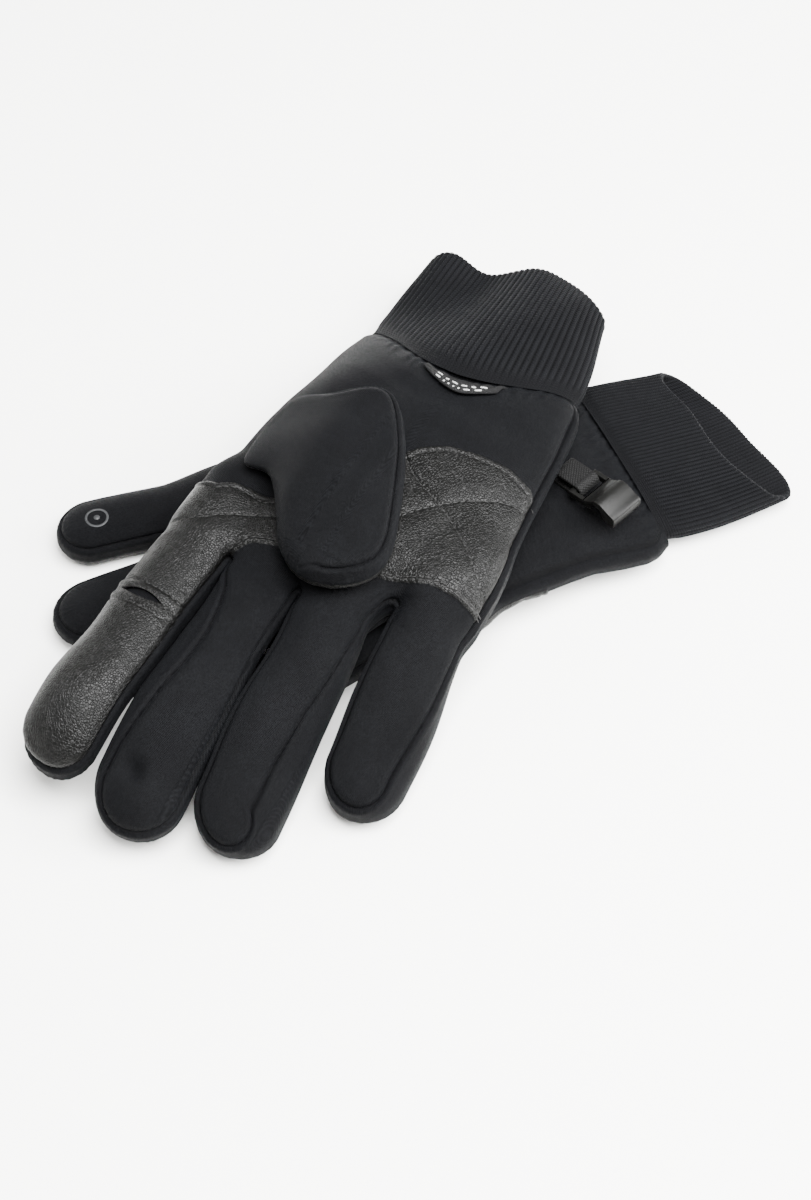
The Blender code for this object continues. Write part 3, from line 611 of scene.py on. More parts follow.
# ---------------------------------------------------------------- materials
class Nodes:
    """Short ways to wire a material's node tree."""

    def __init__(self, name):
        old = bpy.data.materials.get(name)
        self.made = old or bpy.data.materials.new(name)
        self.made.use_nodes = True
        self.tree = self.made.node_tree
        self.shader = self.tree.nodes["Principled BSDF"]

    def put(self, socket, value):
        if isinstance(value, bpy.types.NodeSocket):
            self.tree.links.new(value, socket)
        else:
            socket.default_value = value

    def add(self, kind, output=0, **inputs):
        node = self.tree.nodes.new(kind)
        for key, value in inputs.items():
            if hasattr(node, key):
                setattr(node, key, value)
            else:
                self.put(node.inputs[key.replace("_", " ").title()], value)
        return node.outputs[output]

    def math(self, operation, *values, kind="ShaderNodeMath"):
        node = self.tree.nodes.new(kind)
        node.operation = operation
        for socket, value in zip(node.inputs, values):
            self.put(socket, value)
        return node.outputs[0]

    def weighted(self, *parts):
        """The sum of values, each times its weight."""
        scaled = [self.math("MULTIPLY", value, weight) for value, weight in parts]
        total = scaled[0]
        for more in scaled[1:]:
            total = self.math("ADD", total, more)
        return total

    def value(self, name):
        return self.add("ShaderNodeAttribute", "Fac", attribute_name=name)

    def cloth(self):
        """The cloth's own coordinates, in millimetres, as a vector and as its first two parts."""
        vector = self.add("ShaderNodeAttribute", "Vector", attribute_name="cloth")
        split = self.tree.nodes.new("ShaderNodeSeparateXYZ")
        self.tree.links.new(vector, split.inputs[0])
        return vector, split.outputs[0], split.outputs[1]

    def noise(self, vector, size, detail=2.0, roughness=0.5):
        kind = "ShaderNodeTexNoise"
        return self.add(kind, 0, Vector=vector, Scale=1.0 / size, Detail=detail, Roughness=roughness)

    def wave(self, value, pitch):
        """A sine from -1 to 1 along value."""
        return self.math("SINE", self.math("MULTIPLY", value, 2 * math.pi / pitch))

    def span(self, value, low, high, new_low, new_high):
        node = self.tree.nodes.new("ShaderNodeMapRange")
        for socket, given in zip(node.inputs, (value, low, high, new_low, new_high)):
            self.put(socket, given)
        return node.outputs[0]

    def shade(self, dark, light, share):
        node = self.tree.nodes.new("ShaderNodeMix")
        node.data_type = "RGBA"
        for index, value in ((0, share), (6, dark), (7, light)):
            self.put(node.inputs[index], (*value, 1.0) if isinstance(value, tuple) else value)
        return node.outputs[2]

    def finish(self, colour, roughness, height=None, depth=0.1, **others):
        self.put(self.shader.inputs["Base Color"], colour)
        self.put(self.shader.inputs["Roughness"], roughness)
        for key, value in others.items():
            self.put(self.shader.inputs[key.replace("_", " ").title().replace("Ior", "IOR")], value)
        if height is not None:
            bump = self.tree.nodes.new("ShaderNodeBump")
            bump.inputs["Strength"].default_value = 1.0
            bump.inputs["Distance"].default_value = depth * MM
            self.put(bump.inputs["Height"], height)
            self.tree.links.new(bump.outputs["Normal"], self.shader.inputs["Normal"])
        return self.made


COLD_SHEEN = {"sheen_roughness": 0.5, "sheen_tint": (0.8, 0.85, 0.95, 1.0)}


def make_softshell():
    """A fine diagonal knit with a soft sheen, and painted shade that darkens its seam grooves."""
    n = Nodes("softshell")
    vector, u, v = n.cloth()
    first = n.wave(n.weighted((u, 1.0), (v, 0.55)), 0.82)
    second = n.wave(n.weighted((u, 1.0), (v, -1.7)), 1.25)
    weave = n.math("MULTIPLY", first, second)
    fuzz = n.noise(vector, 0.7, 3.0)
    seam = n.math("ABSOLUTE", n.value("seam"))
    height = n.weighted((weave, 0.32), (fuzz, 0.9), (n.span(seam, 0.10, 0.55, 0.0, 1.0), 2.2))
    cloudy = n.noise(vector, 14.0, 3.0)
    share = n.math("MULTIPLY", n.span(cloudy, 0.3, 0.7, 0.5, 1.0), n.span(fuzz, 0.35, 0.68, 0.1, 1.0))
    share = n.weighted((share, 1.0), (weave, 0.5))
    colour = n.shade((0.0004, 0.0004, 0.0006), (0.0030, 0.0032, 0.0037), share)
    # Painted shade: the colour darkens towards each seam line, where the sewn groove falls into shade.
    colour = n.shade((0.001, 0.001, 0.0011), colour, n.span(seam, 0.0, 0.7, 0.25, 1.0))
    rough = n.span(fuzz, 0.3, 0.7, 0.55, 0.72)
    return n.finish(colour, rough, height, 0.22, specular_ior_level=0.036, sheen_weight=0.006, **COLD_SHEEN)


def make_leather():
    """Small even grain, creased more deeply here and there, with slightly polished tops."""
    n = Nodes("leather")
    vector, _, _ = n.cloth()
    warp = n.add("ShaderNodeTexNoise", "Color", Vector=vector, Scale=0.6)
    bent = n.math("MULTIPLY_ADD", warp, (0.8, 0.8, 0.8), vector, kind="ShaderNodeVectorMath")
    cells = n.add("ShaderNodeTexVoronoi", "Distance", feature="DISTANCE_TO_EDGE", Vector=bent, Scale=1.05)
    grain = n.span(cells, 0.0, 0.22, 0.0, 1.0)
    creases = n.noise(vector, 4.5, 4.0, 0.6)
    fine = n.noise(vector, 0.35, 2.0)
    height = n.weighted((grain, 0.8), (creases, 0.8), (fine, 0.12))
    worn = n.noise(vector, 11.0, 3.0)
    share = n.math("MULTIPLY", n.span(worn, 0.3, 0.72, 0.35, 1.0), n.weighted((grain, 0.6), (fine, 1.0)))
    colour = n.shade((0.0003, 0.0003, 0.0003), (0.0020, 0.0020, 0.0018), share)
    rough = n.weighted((n.span(worn, 0.3, 0.7, 0.44, 0.36), 1.0), (grain, -0.06))
    return n.finish(colour, rough, height, 0.14, specular_ior_level=0.12)


def make_knit():
    """Rows of small stitches on the modelled ribs, with painted shade in the valleys between the ribs."""
    n = Nodes("rib_knit")
    vector, along, rib = n.cloth()
    slant = n.math("ABSOLUTE", n.wave(rib, 2.0))
    rows = n.wave(n.weighted((along, 1.0), (slant, 0.5)), 1.15)
    fuzz = n.noise(vector, 0.6, 3.0)
    height = n.weighted((rows, 0.45), (fuzz, 0.8))
    cloudy = n.noise(vector, 9.0, 3.0)
    # Painted shade: the colour is darkest in the valleys between the ribs, read from the rib relief at each
    # point.
    rib_valley_shade = n.span(n.value("relief"), -0.8, 0.9, 0.0, 1.0)
    share = n.math("MULTIPLY", rib_valley_shade, n.span(cloudy, 0.25, 0.75, 0.7, 1.1))
    colour = n.shade((0.0004, 0.0004, 0.0005), (0.0026, 0.0027, 0.0032), share)
    return n.finish(colour, 0.75, height, 0.16, specular_ior_level=0.04, sheen_weight=0.008, **COLD_SHEEN)


def make_plain(name, colour, roughness, size=1.0, depth=0.05, **others):
    n = Nodes(name)
    where = n.tree.nodes.new("ShaderNodeTexCoord").outputs["Object"]
    fine = n.noise(where, size * MM, 3.0)
    large = n.noise(where, size * MM * 9, 2.0)
    dark = tuple(0.72 * c for c in colour)
    shade = n.shade(dark, colour, n.span(large, 0.3, 0.7, 0.0, 1.0))
    return n.finish(shade, n.span(fine, 0.3, 0.7, roughness - 0.05, roughness + 0.05), fine, depth, **others)


def make_webbing(name, colour, pitch, sheen=0.02):
    """A plain weave in the cloth's own coordinates."""
    n = Nodes(name)
    vector, u, v = n.cloth()
    weave = n.math("MULTIPLY", n.wave(u, pitch), n.wave(v, pitch * 1.3))
    height = n.weighted((weave, 1.0), (n.noise(vector, 0.5, 2.0), 0.6))
    shade = n.shade(tuple(0.45 * c for c in colour), colour, n.span(weave, -1.0, 1.0, 0.0, 1.0))
    return n.finish(shade, 0.6, height, 0.1, specular_ior_level=0.08, sheen_weight=sheen)


softshell, leather, knit = make_softshell(), make_leather(), make_knit()
thread = make_plain("thread", (0.009, 0.009, 0.0088), 0.5, 0.3, specular_ior_level=0.25)
plastic = make_plain("hook_plastic", (0.003, 0.003, 0.0028), 0.42, 0.8, 0.012, specular_ior_level=0.12)
webbing = make_webbing("webbing", (0.0042, 0.0042, 0.0042), 1.1, 0.008)
ribbon = make_webbing("label_weave", (0.0045, 0.0045, 0.0048), 0.7, 0.008)
white_thread = make_plain("label_dashes", (0.28, 0.28, 0.275), 0.7, 0.4)
print_ink = make_plain("touch_print", (0.020, 0.021, 0.022), 0.5, 0.4, 0.02, specular_ior_level=0.2)
elastic = make_webbing("elastic", (0.01, 0.01, 0.01), 1.6)


# ---------------------------------------------------------------- seams and relief
def front_distance(glove, points):
    """Distance from the seam round the palm-side panels, positive on them, and how strongly it shows."""
    u, v, w = points.T
    spans = {name: finger_distance(glove, name, u, v, w) for name in FINGERS}
    nearest = np.argmin(np.stack([spans[name] for name in FINGERS]), 0)
    level = (w - 0.45 * glove.finger_half) * 1.15
    seam, arc, share = level.copy(), np.zeros(len(u)), np.zeros(len(u))
    for k, name in enumerate(FINGERS):
        mine = nearest == k
        run, side, reach, wide, tall = (part[mine] for part in glove.on_finger(name, u, v))
        length = glove.finger(name)[4]
        over = (np.abs(w[mine]) / tall) ** (FINGER_POWER / 2) * np.sign(w[mine])
        angle = np.degrees(np.arctan2(over, (reach / wide) ** (FINGER_POWER / 2)))
        tip = smooth_step(np.arctan2(run - length, np.abs(side)), 0.0, math.pi / 2)
        ends = []
        for table in (FRONT_RIGHT, FRONT_LEFT):
            edge = np.interp(run, *table[name])
            ends.append(edge + (FRONT_TIP[name] - edge) * tip)
        own = np.where(side > 0, ends[0], ends[1])
        other = np.where(side > 0, ends[1], ends[0])
        scale = np.hypot(wide * np.sin(np.radians(angle)), tall * np.cos(np.radians(angle))) * math.pi / 180
        on_finger = np.minimum(angle - own, 180.0 - angle - other) * scale
        seam[mine] += (on_finger - seam[mine]) * smooth_step(run, 3.0, 16.0)
        arc[mine] = np.arctan2(side, np.maximum(run - length, 0.0) + 1e-3) * wide
        share[mine] = smooth_step(run, length - 4.0, length + 3.0)
    index_side = smooth_step(-v, 36.0, 44.0) * (1.0 - smooth_step(u, 112.0, 128.0))
    wrap = (w + 0.3 * glove.finger_half) * 1.15
    seam = seam + (wrap - seam) * index_side
    little_side = smooth_step(v, 36.0, 44.0) * (1.0 - smooth_step(u, 100.0, 112.0))
    own = {}
    for name in FINGERS:
        others = np.min([spans[other] for other in FINGERS if other != name], 0)
        own[name] = others - spans[name]
    return seam, 1.0 - index_side, little_side, arc, share, own


def relief(glove, points):
    """How far the cloth stands out from the plain shape, and the distances that its parts are cut by."""
    u, v, w = points.T
    flat = points[:, :2]
    seam, shown, gusset, arc, at_tip, own = front_distance(glove, points)
    back = -(w + 0.5 * glove.finger_half) * 1.15
    outline = polygon_distance(flat, PATCH)
    wrapped = seam + (w - glove.wrap * glove.finger_half - seam) * (v > 30) * (u < 104)
    patch = np.minimum(outline, wrapped)
    quilt = np.min([line_distance(flat, curve(line, 2.0)) for line in QUILT_LINES], 0)
    from_wrist = smooth_step(u, *SEAM_FROM_WRIST)
    out = humps(seam, FRONT_SEAM) * shown * (1.0 + 0.5 * gusset) * from_wrist
    out += humps(back, BACK_SEAM) * from_wrist
    out += smooth_step(patch, 0.0, 0.9) * humps(outline, PATCH_EDGE)
    out += np.where(patch > 0, 0.5 * smooth_step(quilt, 0.0, 7.0) - 0.38 * hump(quilt, 0.6), 0.0)
    slit = np.abs(u - SLIT_U)
    on_index = (v < -24) & (seam > 0) & (u > 118)
    out += np.where(on_index, humps(slit, SLIT_HEM), 0.0)
    puckers = np.sin(2 * math.pi * (arc / 3.1 + 0.35 * ripple(points, 7.0, 3)))
    puckers *= 0.5 + 0.5 * ripple(points, 12.0, 4)
    out += 0.12 * puckers * at_tip * hump(np.minimum(np.abs(seam), np.abs(back)) - 1.2, 2.6)
    wrist = 1.0 - smooth_step(u, 0.0, 15.0)
    gathers = np.sin(2 * math.pi * (v / 5.6 + 0.45 * ripple(points, 16.0, 5)))
    out += 0.55 * wrist * gathers * smooth_step(u, -1.0, 4.0) * smooth_step(13.0 - np.abs(v) * 0.1, 8.0, 11.0)
    out += 0.55 * ripple(points * (1.0, 1.0, 0.6), 46.0, 11) * smooth_step(u, 4.0, 25.0)
    out += 0.20 * ripple(points * (0.6, 1.0, 1.0), 17.0, 12)
    if glove is right:
        for depth, at_u, at_v, size in HOLLOWS:
            out -= depth * hump(np.hypot(u - at_u, v - at_v), size) * (w > 0)
    # The seam distance also drives the painted shade along the seam grooves in the softshell material.
    return out, {"seam": np.minimum(np.abs(seam), np.abs(back)) * np.where(shown > 0.5, 1.0, 9.0),
                 "front": seam, "patch": patch, **own}


def cloth_coordinates(glove, points):
    """Coordinates that run over the cloth without stretching much down its sides."""
    u, v, w = points.T
    up = w * glove.palm
    middle = np.where(u > 118, np.select([v < -27, v < 2, v < 32], (-41.5, -11.7, 18.0), 47.0), 3.0)
    lean = np.tanh((v - middle) / 3.0)
    return np.stack([u, v - lean * (up - 9.0), up], 1)


def piece(glove, skin, name, part, finish, slot, nodes, thickness, whole=True, raised=0.0):
    """A mesh made from part of a skin, with its cloth thickness."""
    data, tri = skin
    local = data["rest"] + data["normal"] * (data["out"] + raised)[:, None]
    points, faces, source = thicken(local, data["normal"], tri, thickness, whole)
    faces = faces if glove.palm > 0 else faces[:, ::-1]
    made = mesh_object(
        f"{glove.name}_{name}", glove.world(points), faces, finish,
        cloth=cloth_coordinates(glove, data["rest"])[source], seam=data["seam"][source],
    )
    bend = data["bend"][source]
    if whole:
        bend[len(local):] *= -1.0
    made.data.normals_split_custom_set_from_vertices(bend.tolist())
    attach(made, glove, part, slot, *nodes)
    return made


def grid_step(glove):
    return glove.step * 1.0


def build_skin(glove):
    """The whole sewn glove without its thumb, cut into the hand and the fingers, with the fields that the
    leather is later cut by.
    """
    points, tri, normals = skin_of(lambda *at: glove_distance(glove, *at), *SKIN_BOX, grid_step(glove))
    out, fields = relief(glove, points)
    top = points + normals * out[:, None]
    bend = vertex_normals(glove.world(top), tri) * glove.palm
    tree = BVHTree.FromPolygons(top.tolist(), tri.tolist())
    data = {"rest": points, "normal": normals, "out": out, "bend": bend, **fields}
    rest = clip((data, tri), points[:, 0] - 0.2)
    parts = {}
    for name in FINGERS:
        base, _, along, _, _, _ = glove.finger(name)
        run = (rest[0]["rest"][:, :2] - base) @ along
        mine = np.minimum(run - CUT_FROM_BASE[name], rest[0][name])
        parts[name] = clip(rest, mine)
        rest = clip(rest, -mine)
    return tree, rest, parts


def build_glove(glove):
    tree, hand, parts = build_skin(glove)
    leather_hand = clip(hand, hand[0]["patch"])
    piece(glove, clip(hand, -hand[0]["patch"]), "hand_skin", "hand", softshell, "softshell",
          ("palm_panel", "back_panel", "side_gusset"), 1.4, whole=False)
    piece(glove, leather_hand, "palm_leather", "hand", leather, "leather", ("palm_patch",), 1.1, raised=0.25)
    for name in ("middle", "ring", "little"):
        nodes = [f"{name}_{part}" for part in ("front", "back", "side_strip")]
        piece(glove, parts[name], f"{name}_finger", name, softshell, "softshell", nodes, 1.3, whole=False)
    index = parts["index"]
    cover = clip(index, index[0]["front"])
    shell = clip(index, -index[0]["front"])
    for skin, finish, slot, raised, gap, base, tip in (
        (cover, leather, "leather", 0.25, SLIT_OPEN, ("index_base_leather",), ("hood_leather",)),
        (shell, softshell, "softshell", 0.0, 0.0, ("index_base_sleeve",), ("hood_back", "hood_side_strip")),
    ):
        u, v, _ = skin[0]["rest"].T
        open_by = gap / 2 * np.maximum(1.0 - ((v - SLIT_V) / SLIT_HALF) ** 2, 0.02)
        for part, sign, nodes in (("index", -1.0, base), ("hood", 1.0, tip)):
            cut = clip(skin, sign * (u - SLIT_U) - open_by)
            piece(glove, cut, f"{part}_{slot}", part, finish, slot, nodes, 1.2, raised=raised)
    u = cover[0]["rest"][:, 0]
    flap = clip(cover, 7.0 - np.abs(u - SLIT_U + 1.0))
    piece(glove, flap, "flap_softshell", "index", softshell, "softshell", ("slit_flap",), 0.7, raised=-1.6)
    return tree


# ---------------------------------------------------------------- stitches
THREAD_RINGS = ((0.0, 0.55), (0.18, 1.0), (0.82, 1.0), (1.0, 0.55))


def capsules(name, starts, ends, radius, finish, sides=6, flat=1.0):
    """One mesh of round-ended threads between pairs of world points, in metres."""
    points, faces = [], []
    turns = [2 * math.pi * k / sides for k in range(sides)]
    wall = grid_faces(len(THREAD_RINGS), sides, join_columns=True)[:, ::-1]
    for a, b in zip(starts, ends):
        length = np.linalg.norm(b - a)
        way = (b - a) / max(length, 1e-9)
        across = np.cross(way, (0.0, 0.0, 1.0))
        across /= max(np.linalg.norm(across), 1e-9)
        over = np.cross(across, way) * flat
        first = len(points)
        for share, size in THREAD_RINGS:
            ring = [across * math.cos(turn) + over * math.sin(turn) for turn in turns]
            points += [a + way * length * share + spoke * radius * size for spoke in ring]
        faces += (wall + first).tolist()
        faces += [range(first, first + sides)[::-1], range(len(points) - sides, len(points))]
    return mesh_object(name, points, [tuple(face) for face in faces], finish)


def laid(tree, flat, lift=0.0):
    """Points of the skin over plan points on the palm side, raised by lift, or nan where there is no skin."""
    found = []
    for u, v in flat:
        spot = tree.ray_cast(Vector((u, v, 60.0)), Vector((0.0, 0.0, -1.0)))[0]
        found.append((math.nan,) * 3 if spot is None else (spot.x, spot.y, spot.z + lift))
    return np.array(found)


def stitch_row(glove, tree, name, part, lines, lift, pitch=2.7, length=1.75, radius=0.2):
    """Rows of stitches laid on the palm side of the skin along plan lines."""
    starts, ends = [], []
    for line in lines:
        run = curve(line, pitch)
        step = (run[1:] - run[:-1]) * (length / pitch)
        a, b = laid(tree, run[:-1], lift), laid(tree, run[:-1] + step, lift)
        hit = np.isfinite(a + b).all(1)
        starts += list(glove.world(a[hit]))
        ends += list(glove.world(b[hit]))
    made = capsules(f"{glove.name}_{name}", starts, ends, radius * MM, thread)
    return attach(made, glove, part, "leather")


def inset(outline, first, last, inward):
    """Part of a closed outline moved inwards."""
    corners = np.array(outline)
    before, after = np.roll(corners, 1, 0), np.roll(corners, -1, 0)
    way = after - before
    way = way / np.linalg.norm(way, axis=1)[:, None]
    area = np.cross(corners, after).sum()
    normal = np.stack([-way[:, 1], way[:, 0]], 1) * (1 if area > 0 else -1)
    return (corners + normal * inward)[first:last]


def palm_stitches(glove, tree):
    lines = [inset(PATCH, *part) for part in ((1, 12, 2.1), (14, 25, 2.1), (14, 25, 0.9))]
    stitch_row(glove, tree, "patch_stitches", "hand", lines, 0.28)
    stitch_row(glove, tree, "quilt_stitches", "hand", QUILT_LINES, 0.22)
    for name, part, side, start in (("slit", "index", -1.0, -0.4), ("hood", "hood", 1.0, 1.4)):
        at = SLIT_U + side * SLIT_HEM[1][1]
        line = [(at + start, -52.0), (at, -46.0), (at, -37.0), (at - side * 1.2, -28.6)]
        stitch_row(glove, tree, f"{name}_stitches", part, [line], 0.28)


# ---------------------------------------------------------------- thumb
def build_thumb(glove):
    points, tri, _ = skin_of(lambda *at: thumb_distance(glove, *at), *THUMB_BOX, grid_step(glove))
    points = relaxed(points, tri, 16)
    u, v, w = points.T
    angle, scale = thumb_angle(glove, u, v, w)
    back_at, plain_back = back_seam(u, v)
    upper, lower = (angle - back_at) * scale, (angle - THUMB_LEATHER_DEG) * scale
    shown = smooth_step(v, -32.0, -20.0)
    out = (humps(upper, THUMB_BACK_SEAM) * plain_back + humps(lower, THUMB_SIDE_SEAM)) * shown
    tip = smooth_step(u, 100.0, 116.0)
    arc = np.unwrap(np.arctan2(v + 2.0, u - 88.0)) * 30.0
    gather = np.sin(2 * math.pi * arc / 3.2 + 2 * ripple(points, 7.0, 31))
    gather *= 0.5 + 0.5 * ripple(points, 12.0, 33)
    out += 0.1 * gather * tip * hump(np.minimum(abs(upper), abs(lower)) - 1.0, 3.2)
    swell = ripple(points * (1.0, 1.0, 0.5), 38.0, 32) * smooth_step(angle, 10.0, 60.0)
    out += 0.1 * glove.thumb_half * swell
    normals = vertex_normals(points, tri)
    bend = vertex_normals(glove.world(points + normals * out[:, None]), tri) * glove.palm
    # This seam distance also drives the painted shade along the thumb's seam grooves.
    seam = np.minimum(abs(upper) + 9 * (1 - plain_back), abs(lower)) + 9 * (1 - shown)
    data = {"rest": points, "normal": normals, "out": out, "seam": seam, "bend": bend}
    skin = clip((data, tri), v - THUMB_ROOT_V)
    angle, scale = thumb_angle(glove, *skin[0]["rest"].T)
    split = (angle - THUMB_LEATHER_DEG) * scale
    shell = ("thumb_back", "thumb_side_strip")
    piece(glove, clip(skin, split), "thumb_shell", "thumb", softshell, "softshell", shell, 1.2, whole=False)
    piece(glove, clip(skin, -split), "thumb_grip", "thumb", leather, "leather", ("thumb_leather",), 1.0,
          whole=False, raised=0.15)


# ---------------------------------------------------------------- cuff
def eased(value, table, reach=5.0):
    """A table read between its points, averaged over reach so that it has no corners."""
    stops, heights = np.transpose(table)
    return np.mean([np.interp(value + t * reach, stops, heights) for t in np.linspace(-1.0, 1.0, 11)], 0)


def rim_wave(glove, v, rise):
    """How far the rim of the cuff stands towards the hand at v, and how far it is lifted."""
    upper = smooth_step(rise * glove.palm, -0.4, 0.8)
    if glove is left:
        return 0.6 * np.sin(v / 7.0), 1.2 * hump(v + 8.0, 14.0) * upper
    return eased(v, RIM_RIGHT) * (0.35 + 0.65 * upper), eased(v, RIM_LIFT) * upper


def around(count, power=HAND_POWER):
    """Shares of the half width and half height round a flattened ring, spaced evenly for a typical cuff."""
    def ring(turn):
        return [np.sign(part) * np.abs(part) ** (2 / power) for part in (np.cos(turn), np.sin(turn))]

    turn = np.linspace(0.0, 2 * math.pi, count + 1)
    reach, rise = ring(turn)
    run = np.cumsum(np.hypot(TYPICAL_HALVES[0] * np.diff(reach), TYPICAL_HALVES[1] * np.diff(rise)))
    run = np.concatenate([[0.0], run])
    even = np.interp(np.linspace(0.0, run[-1], count, endpoint=False), run, turn)
    return even, *ring(even), run[-1]


def cuff_rows(glove, shares, inward, ribs, count):
    """Rings of the cuff from the seam (share 0) to the rim (share 1), each set in by its own amount."""
    turn, reach, rise, girth = around(count)
    phase = np.arange(count) / count * round(girth / glove.rib_pitch)
    rib = np.abs(np.cos(math.pi * phase)) ** 0.7 * 2 - 1
    points, cloth, reliefs = [], [], []
    for share, inset_by in zip(shares, inward):
        wide, shift = (np.interp(share, (0.0, 1.0), pair) for pair in (glove.cuff_width, glove.cuff_shift))
        swell = 0.9 * hump(share - 0.45, 0.35) - 0.9 * hump(share, 0.10)
        shown = smooth_step(share, *RIB_STARTS)
        amount = RIB_DEPTH * ribs * shown
        wobble = 0.35 * np.sin(turn * 5 + share * 4.0) * share
        v = (wide - inset_by + swell) * reach + shift + amount * rib * np.cos(turn)
        back, lift = rim_wave(glove, v, rise)
        w = (glove.cuff_half - inset_by + swell * 0.6 + amount * rib + wobble) * rise
        w = w + glove.palm * lift * smooth_step(share, 0.25, 1.0)
        u = CUFF_TOP - share * (glove.cuff_length + CUFF_UNDER_SEAM + glove.rim_slant * rise)
        u = u + back * np.abs(share) ** 3
        points.append(np.stack([u, v, w], 1))
        cloth.append(np.stack([np.full(count, share * KNIT_LENGTH - inset_by), phase * 2.0, w], 1))
        reliefs.append(rib * shown * ribs)
    return np.concatenate(points), np.concatenate(cloth), np.concatenate(reliefs)


def build_cuff(glove):
    """The doubled rib cuff: an outer wall, a soft fold at the rim and an inner wall, and its elastic band."""
    count = 900
    turn = np.linspace(0.0, math.pi, FOLD_ROWS + 2)[1:-1]
    outer, inner = np.linspace(0.0, 1.0, OUTER_ROWS), np.linspace(1.0, -0.10, INNER_ROWS)
    shares = np.concatenate([outer, 1.0 + 0.024 * np.sin(turn), inner])
    folded = CUFF_WALL / 2 * (1 - np.cos(turn))
    inward = np.concatenate([np.zeros(OUTER_ROWS), folded, np.full(INNER_ROWS, CUFF_WALL)])
    points, cloth, rib_valley_shade = cuff_rows(glove, shares, inward, 1.0, count)
    quads = grid_faces(len(shares), count, join_columns=True)
    quads = quads if glove.palm > 0 else quads[:, ::-1]
    name = f"{glove.name}_rib_cuff"
    # The rib relief goes to the knit material, which paints shade into the valleys between the ribs.
    made = mesh_object(name, glove.world(points), quads, knit, cloth=cloth, relief=rib_valley_shade)
    attach(made, glove, "hand", "rib_knit", "knit_cuff")
    rows = len(BAND_SHARES)
    points, cloth, _ = cuff_rows(glove, BAND_SHARES, np.full(rows, BAND_INSET), 0.0, BAND_COUNT)
    quads = grid_faces(rows, BAND_COUNT, join_columns=True)
    name = f"{glove.name}_elastic_band"
    made = mesh_object(name, glove.world(points), quads, elastic, cloth=cloth)
    attach(made, glove, "hand", "elastic", "wrist_elastic")


# ---------------------------------------------------------------- label, mark, loop and hook
LABEL_ROWS, LABEL_COLUMNS, LABEL_TOP, LABEL_THICK = 16, 41, 2.6, 0.55
DASH_ROWS, DASH_COLUMNS, DASH_LAST, DASH_RADIUS = (8, 12), (8, 33), 34, 0.4


def build_label(glove, tree):
    """A satin label caught in the wrist seam. It droops to a blunt point and carries plain woven dashes."""
    rows, columns = LABEL_ROWS, LABEL_COLUMNS
    across = np.linspace(-1.0, 1.0, columns)
    grid, cloth = np.zeros((rows, columns, 3)), np.zeros((rows, columns, 3))
    low_edge = 8.0 + 8.0 * (1.1 - np.sqrt((across - 0.2) ** 2 + 0.02))
    for i, t in enumerate(np.linspace(0.0, 1.0, rows)):
        u = LABEL_TOP + t * (low_edge - LABEL_TOP)
        v = LABEL_V + across * LABEL_HALF * (1.0 - 0.04 * t)
        ground = np.full(columns, glove.hand_half[1])
        if glove.palm > 0:
            ground = laid(tree, np.stack([u, v], 1))[:, 2]
        lift = 0.35 + (1.9 - 0.9 * np.abs(across) ** 3) * math.sin(t * math.pi * 0.62)
        level = np.maximum(ground, ground.max() - 1.6) + lift * (1.0 if glove.palm > 0 else 0.3)
        grid[i] = np.stack([u, v, level], 1)
        cloth[i] = np.stack([np.full(columns, t * 13.0), across * LABEL_HALF, np.zeros(columns)], 1)
    tri = split_quads(grid_faces(rows, columns))
    world = glove.world(grid.reshape(-1, 3))
    normals = vertex_normals(world, tri)
    points, faces, source = thicken(world, normals, tri, LABEL_THICK * glove.palm * MM)
    cloth = cloth.reshape(-1, 3)[source]
    made = mesh_object(f"{glove.name}_label", points, faces, ribbon, cloth=cloth)
    attach(made, glove, "label", "label_weave", "woven_label")
    if glove is left:
        return
    rng = np.random.default_rng(7)
    starts, ends = [], []
    for row in DASH_ROWS:
        column = DASH_COLUMNS[0]
        while column < DASH_COLUMNS[1]:
            size = int(rng.integers(1, 4))
            at = row * columns + column
            up = normals[at] * 0.1 * MM * (1 if normals[at][2] > 0 else -1)
            starts.append(world[at] + up)
            ends.append(world[row * columns + min(column + size, DASH_LAST)] + up)
            column += size + 2
    made = capsules(f"{glove.name}_label_dashes", starts, ends, DASH_RADIUS * MM, white_thread, flat=0.4)
    attach(made, glove, "label", "label_weave")


MARK_RINGS, MARK_COUNT, MARK_FROM_TIP, MARK_THICK = ((0.0, 1.2), (3.6, 4.5)), 40, 2.5, 0.25


def build_mark(glove, tree):
    """A ring and a dot printed on the back of the index fingertip."""
    _, tip, along, across, _, _ = glove.finger("index")
    centre = tip - along * MARK_FROM_TIP
    points, faces = [], []
    for radii in MARK_RINGS:
        faces.append(grid_faces(MARK_COUNT + 1, 2)[:, ::-1] + len(points))
        for k in range(MARK_COUNT + 1):
            turn = 2 * math.pi * k / MARK_COUNT
            for radius in radii:
                flat = centre + (along * math.cos(turn) + across * math.sin(turn)) * radius
                spot = tree.ray_cast(Vector((*flat, -60.0)), Vector((0.0, 0.0, 1.0)))[0]
                points.append((flat[0], flat[1], spot.z - 0.06))
    tri = split_quads(np.concatenate(faces))
    local = np.array(points)
    normals = np.tile((0.0, 0.0, -1.0), (len(local), 1))
    if np.cross(local[tri[0, 1]] - local[tri[0, 0]], local[tri[0, 2]] - local[tri[0, 0]])[2] > 0:
        tri = tri[:, ::-1]
    solid, faces, _ = thicken(local, normals, tri, MARK_THICK)
    faces = faces if glove.palm > 0 else faces[:, ::-1]
    made = mesh_object(f"{glove.name}_fingertip_mark", glove.world(solid), faces, print_ink)
    attach(made, glove, "hood", "touch_print", "touch_mark")


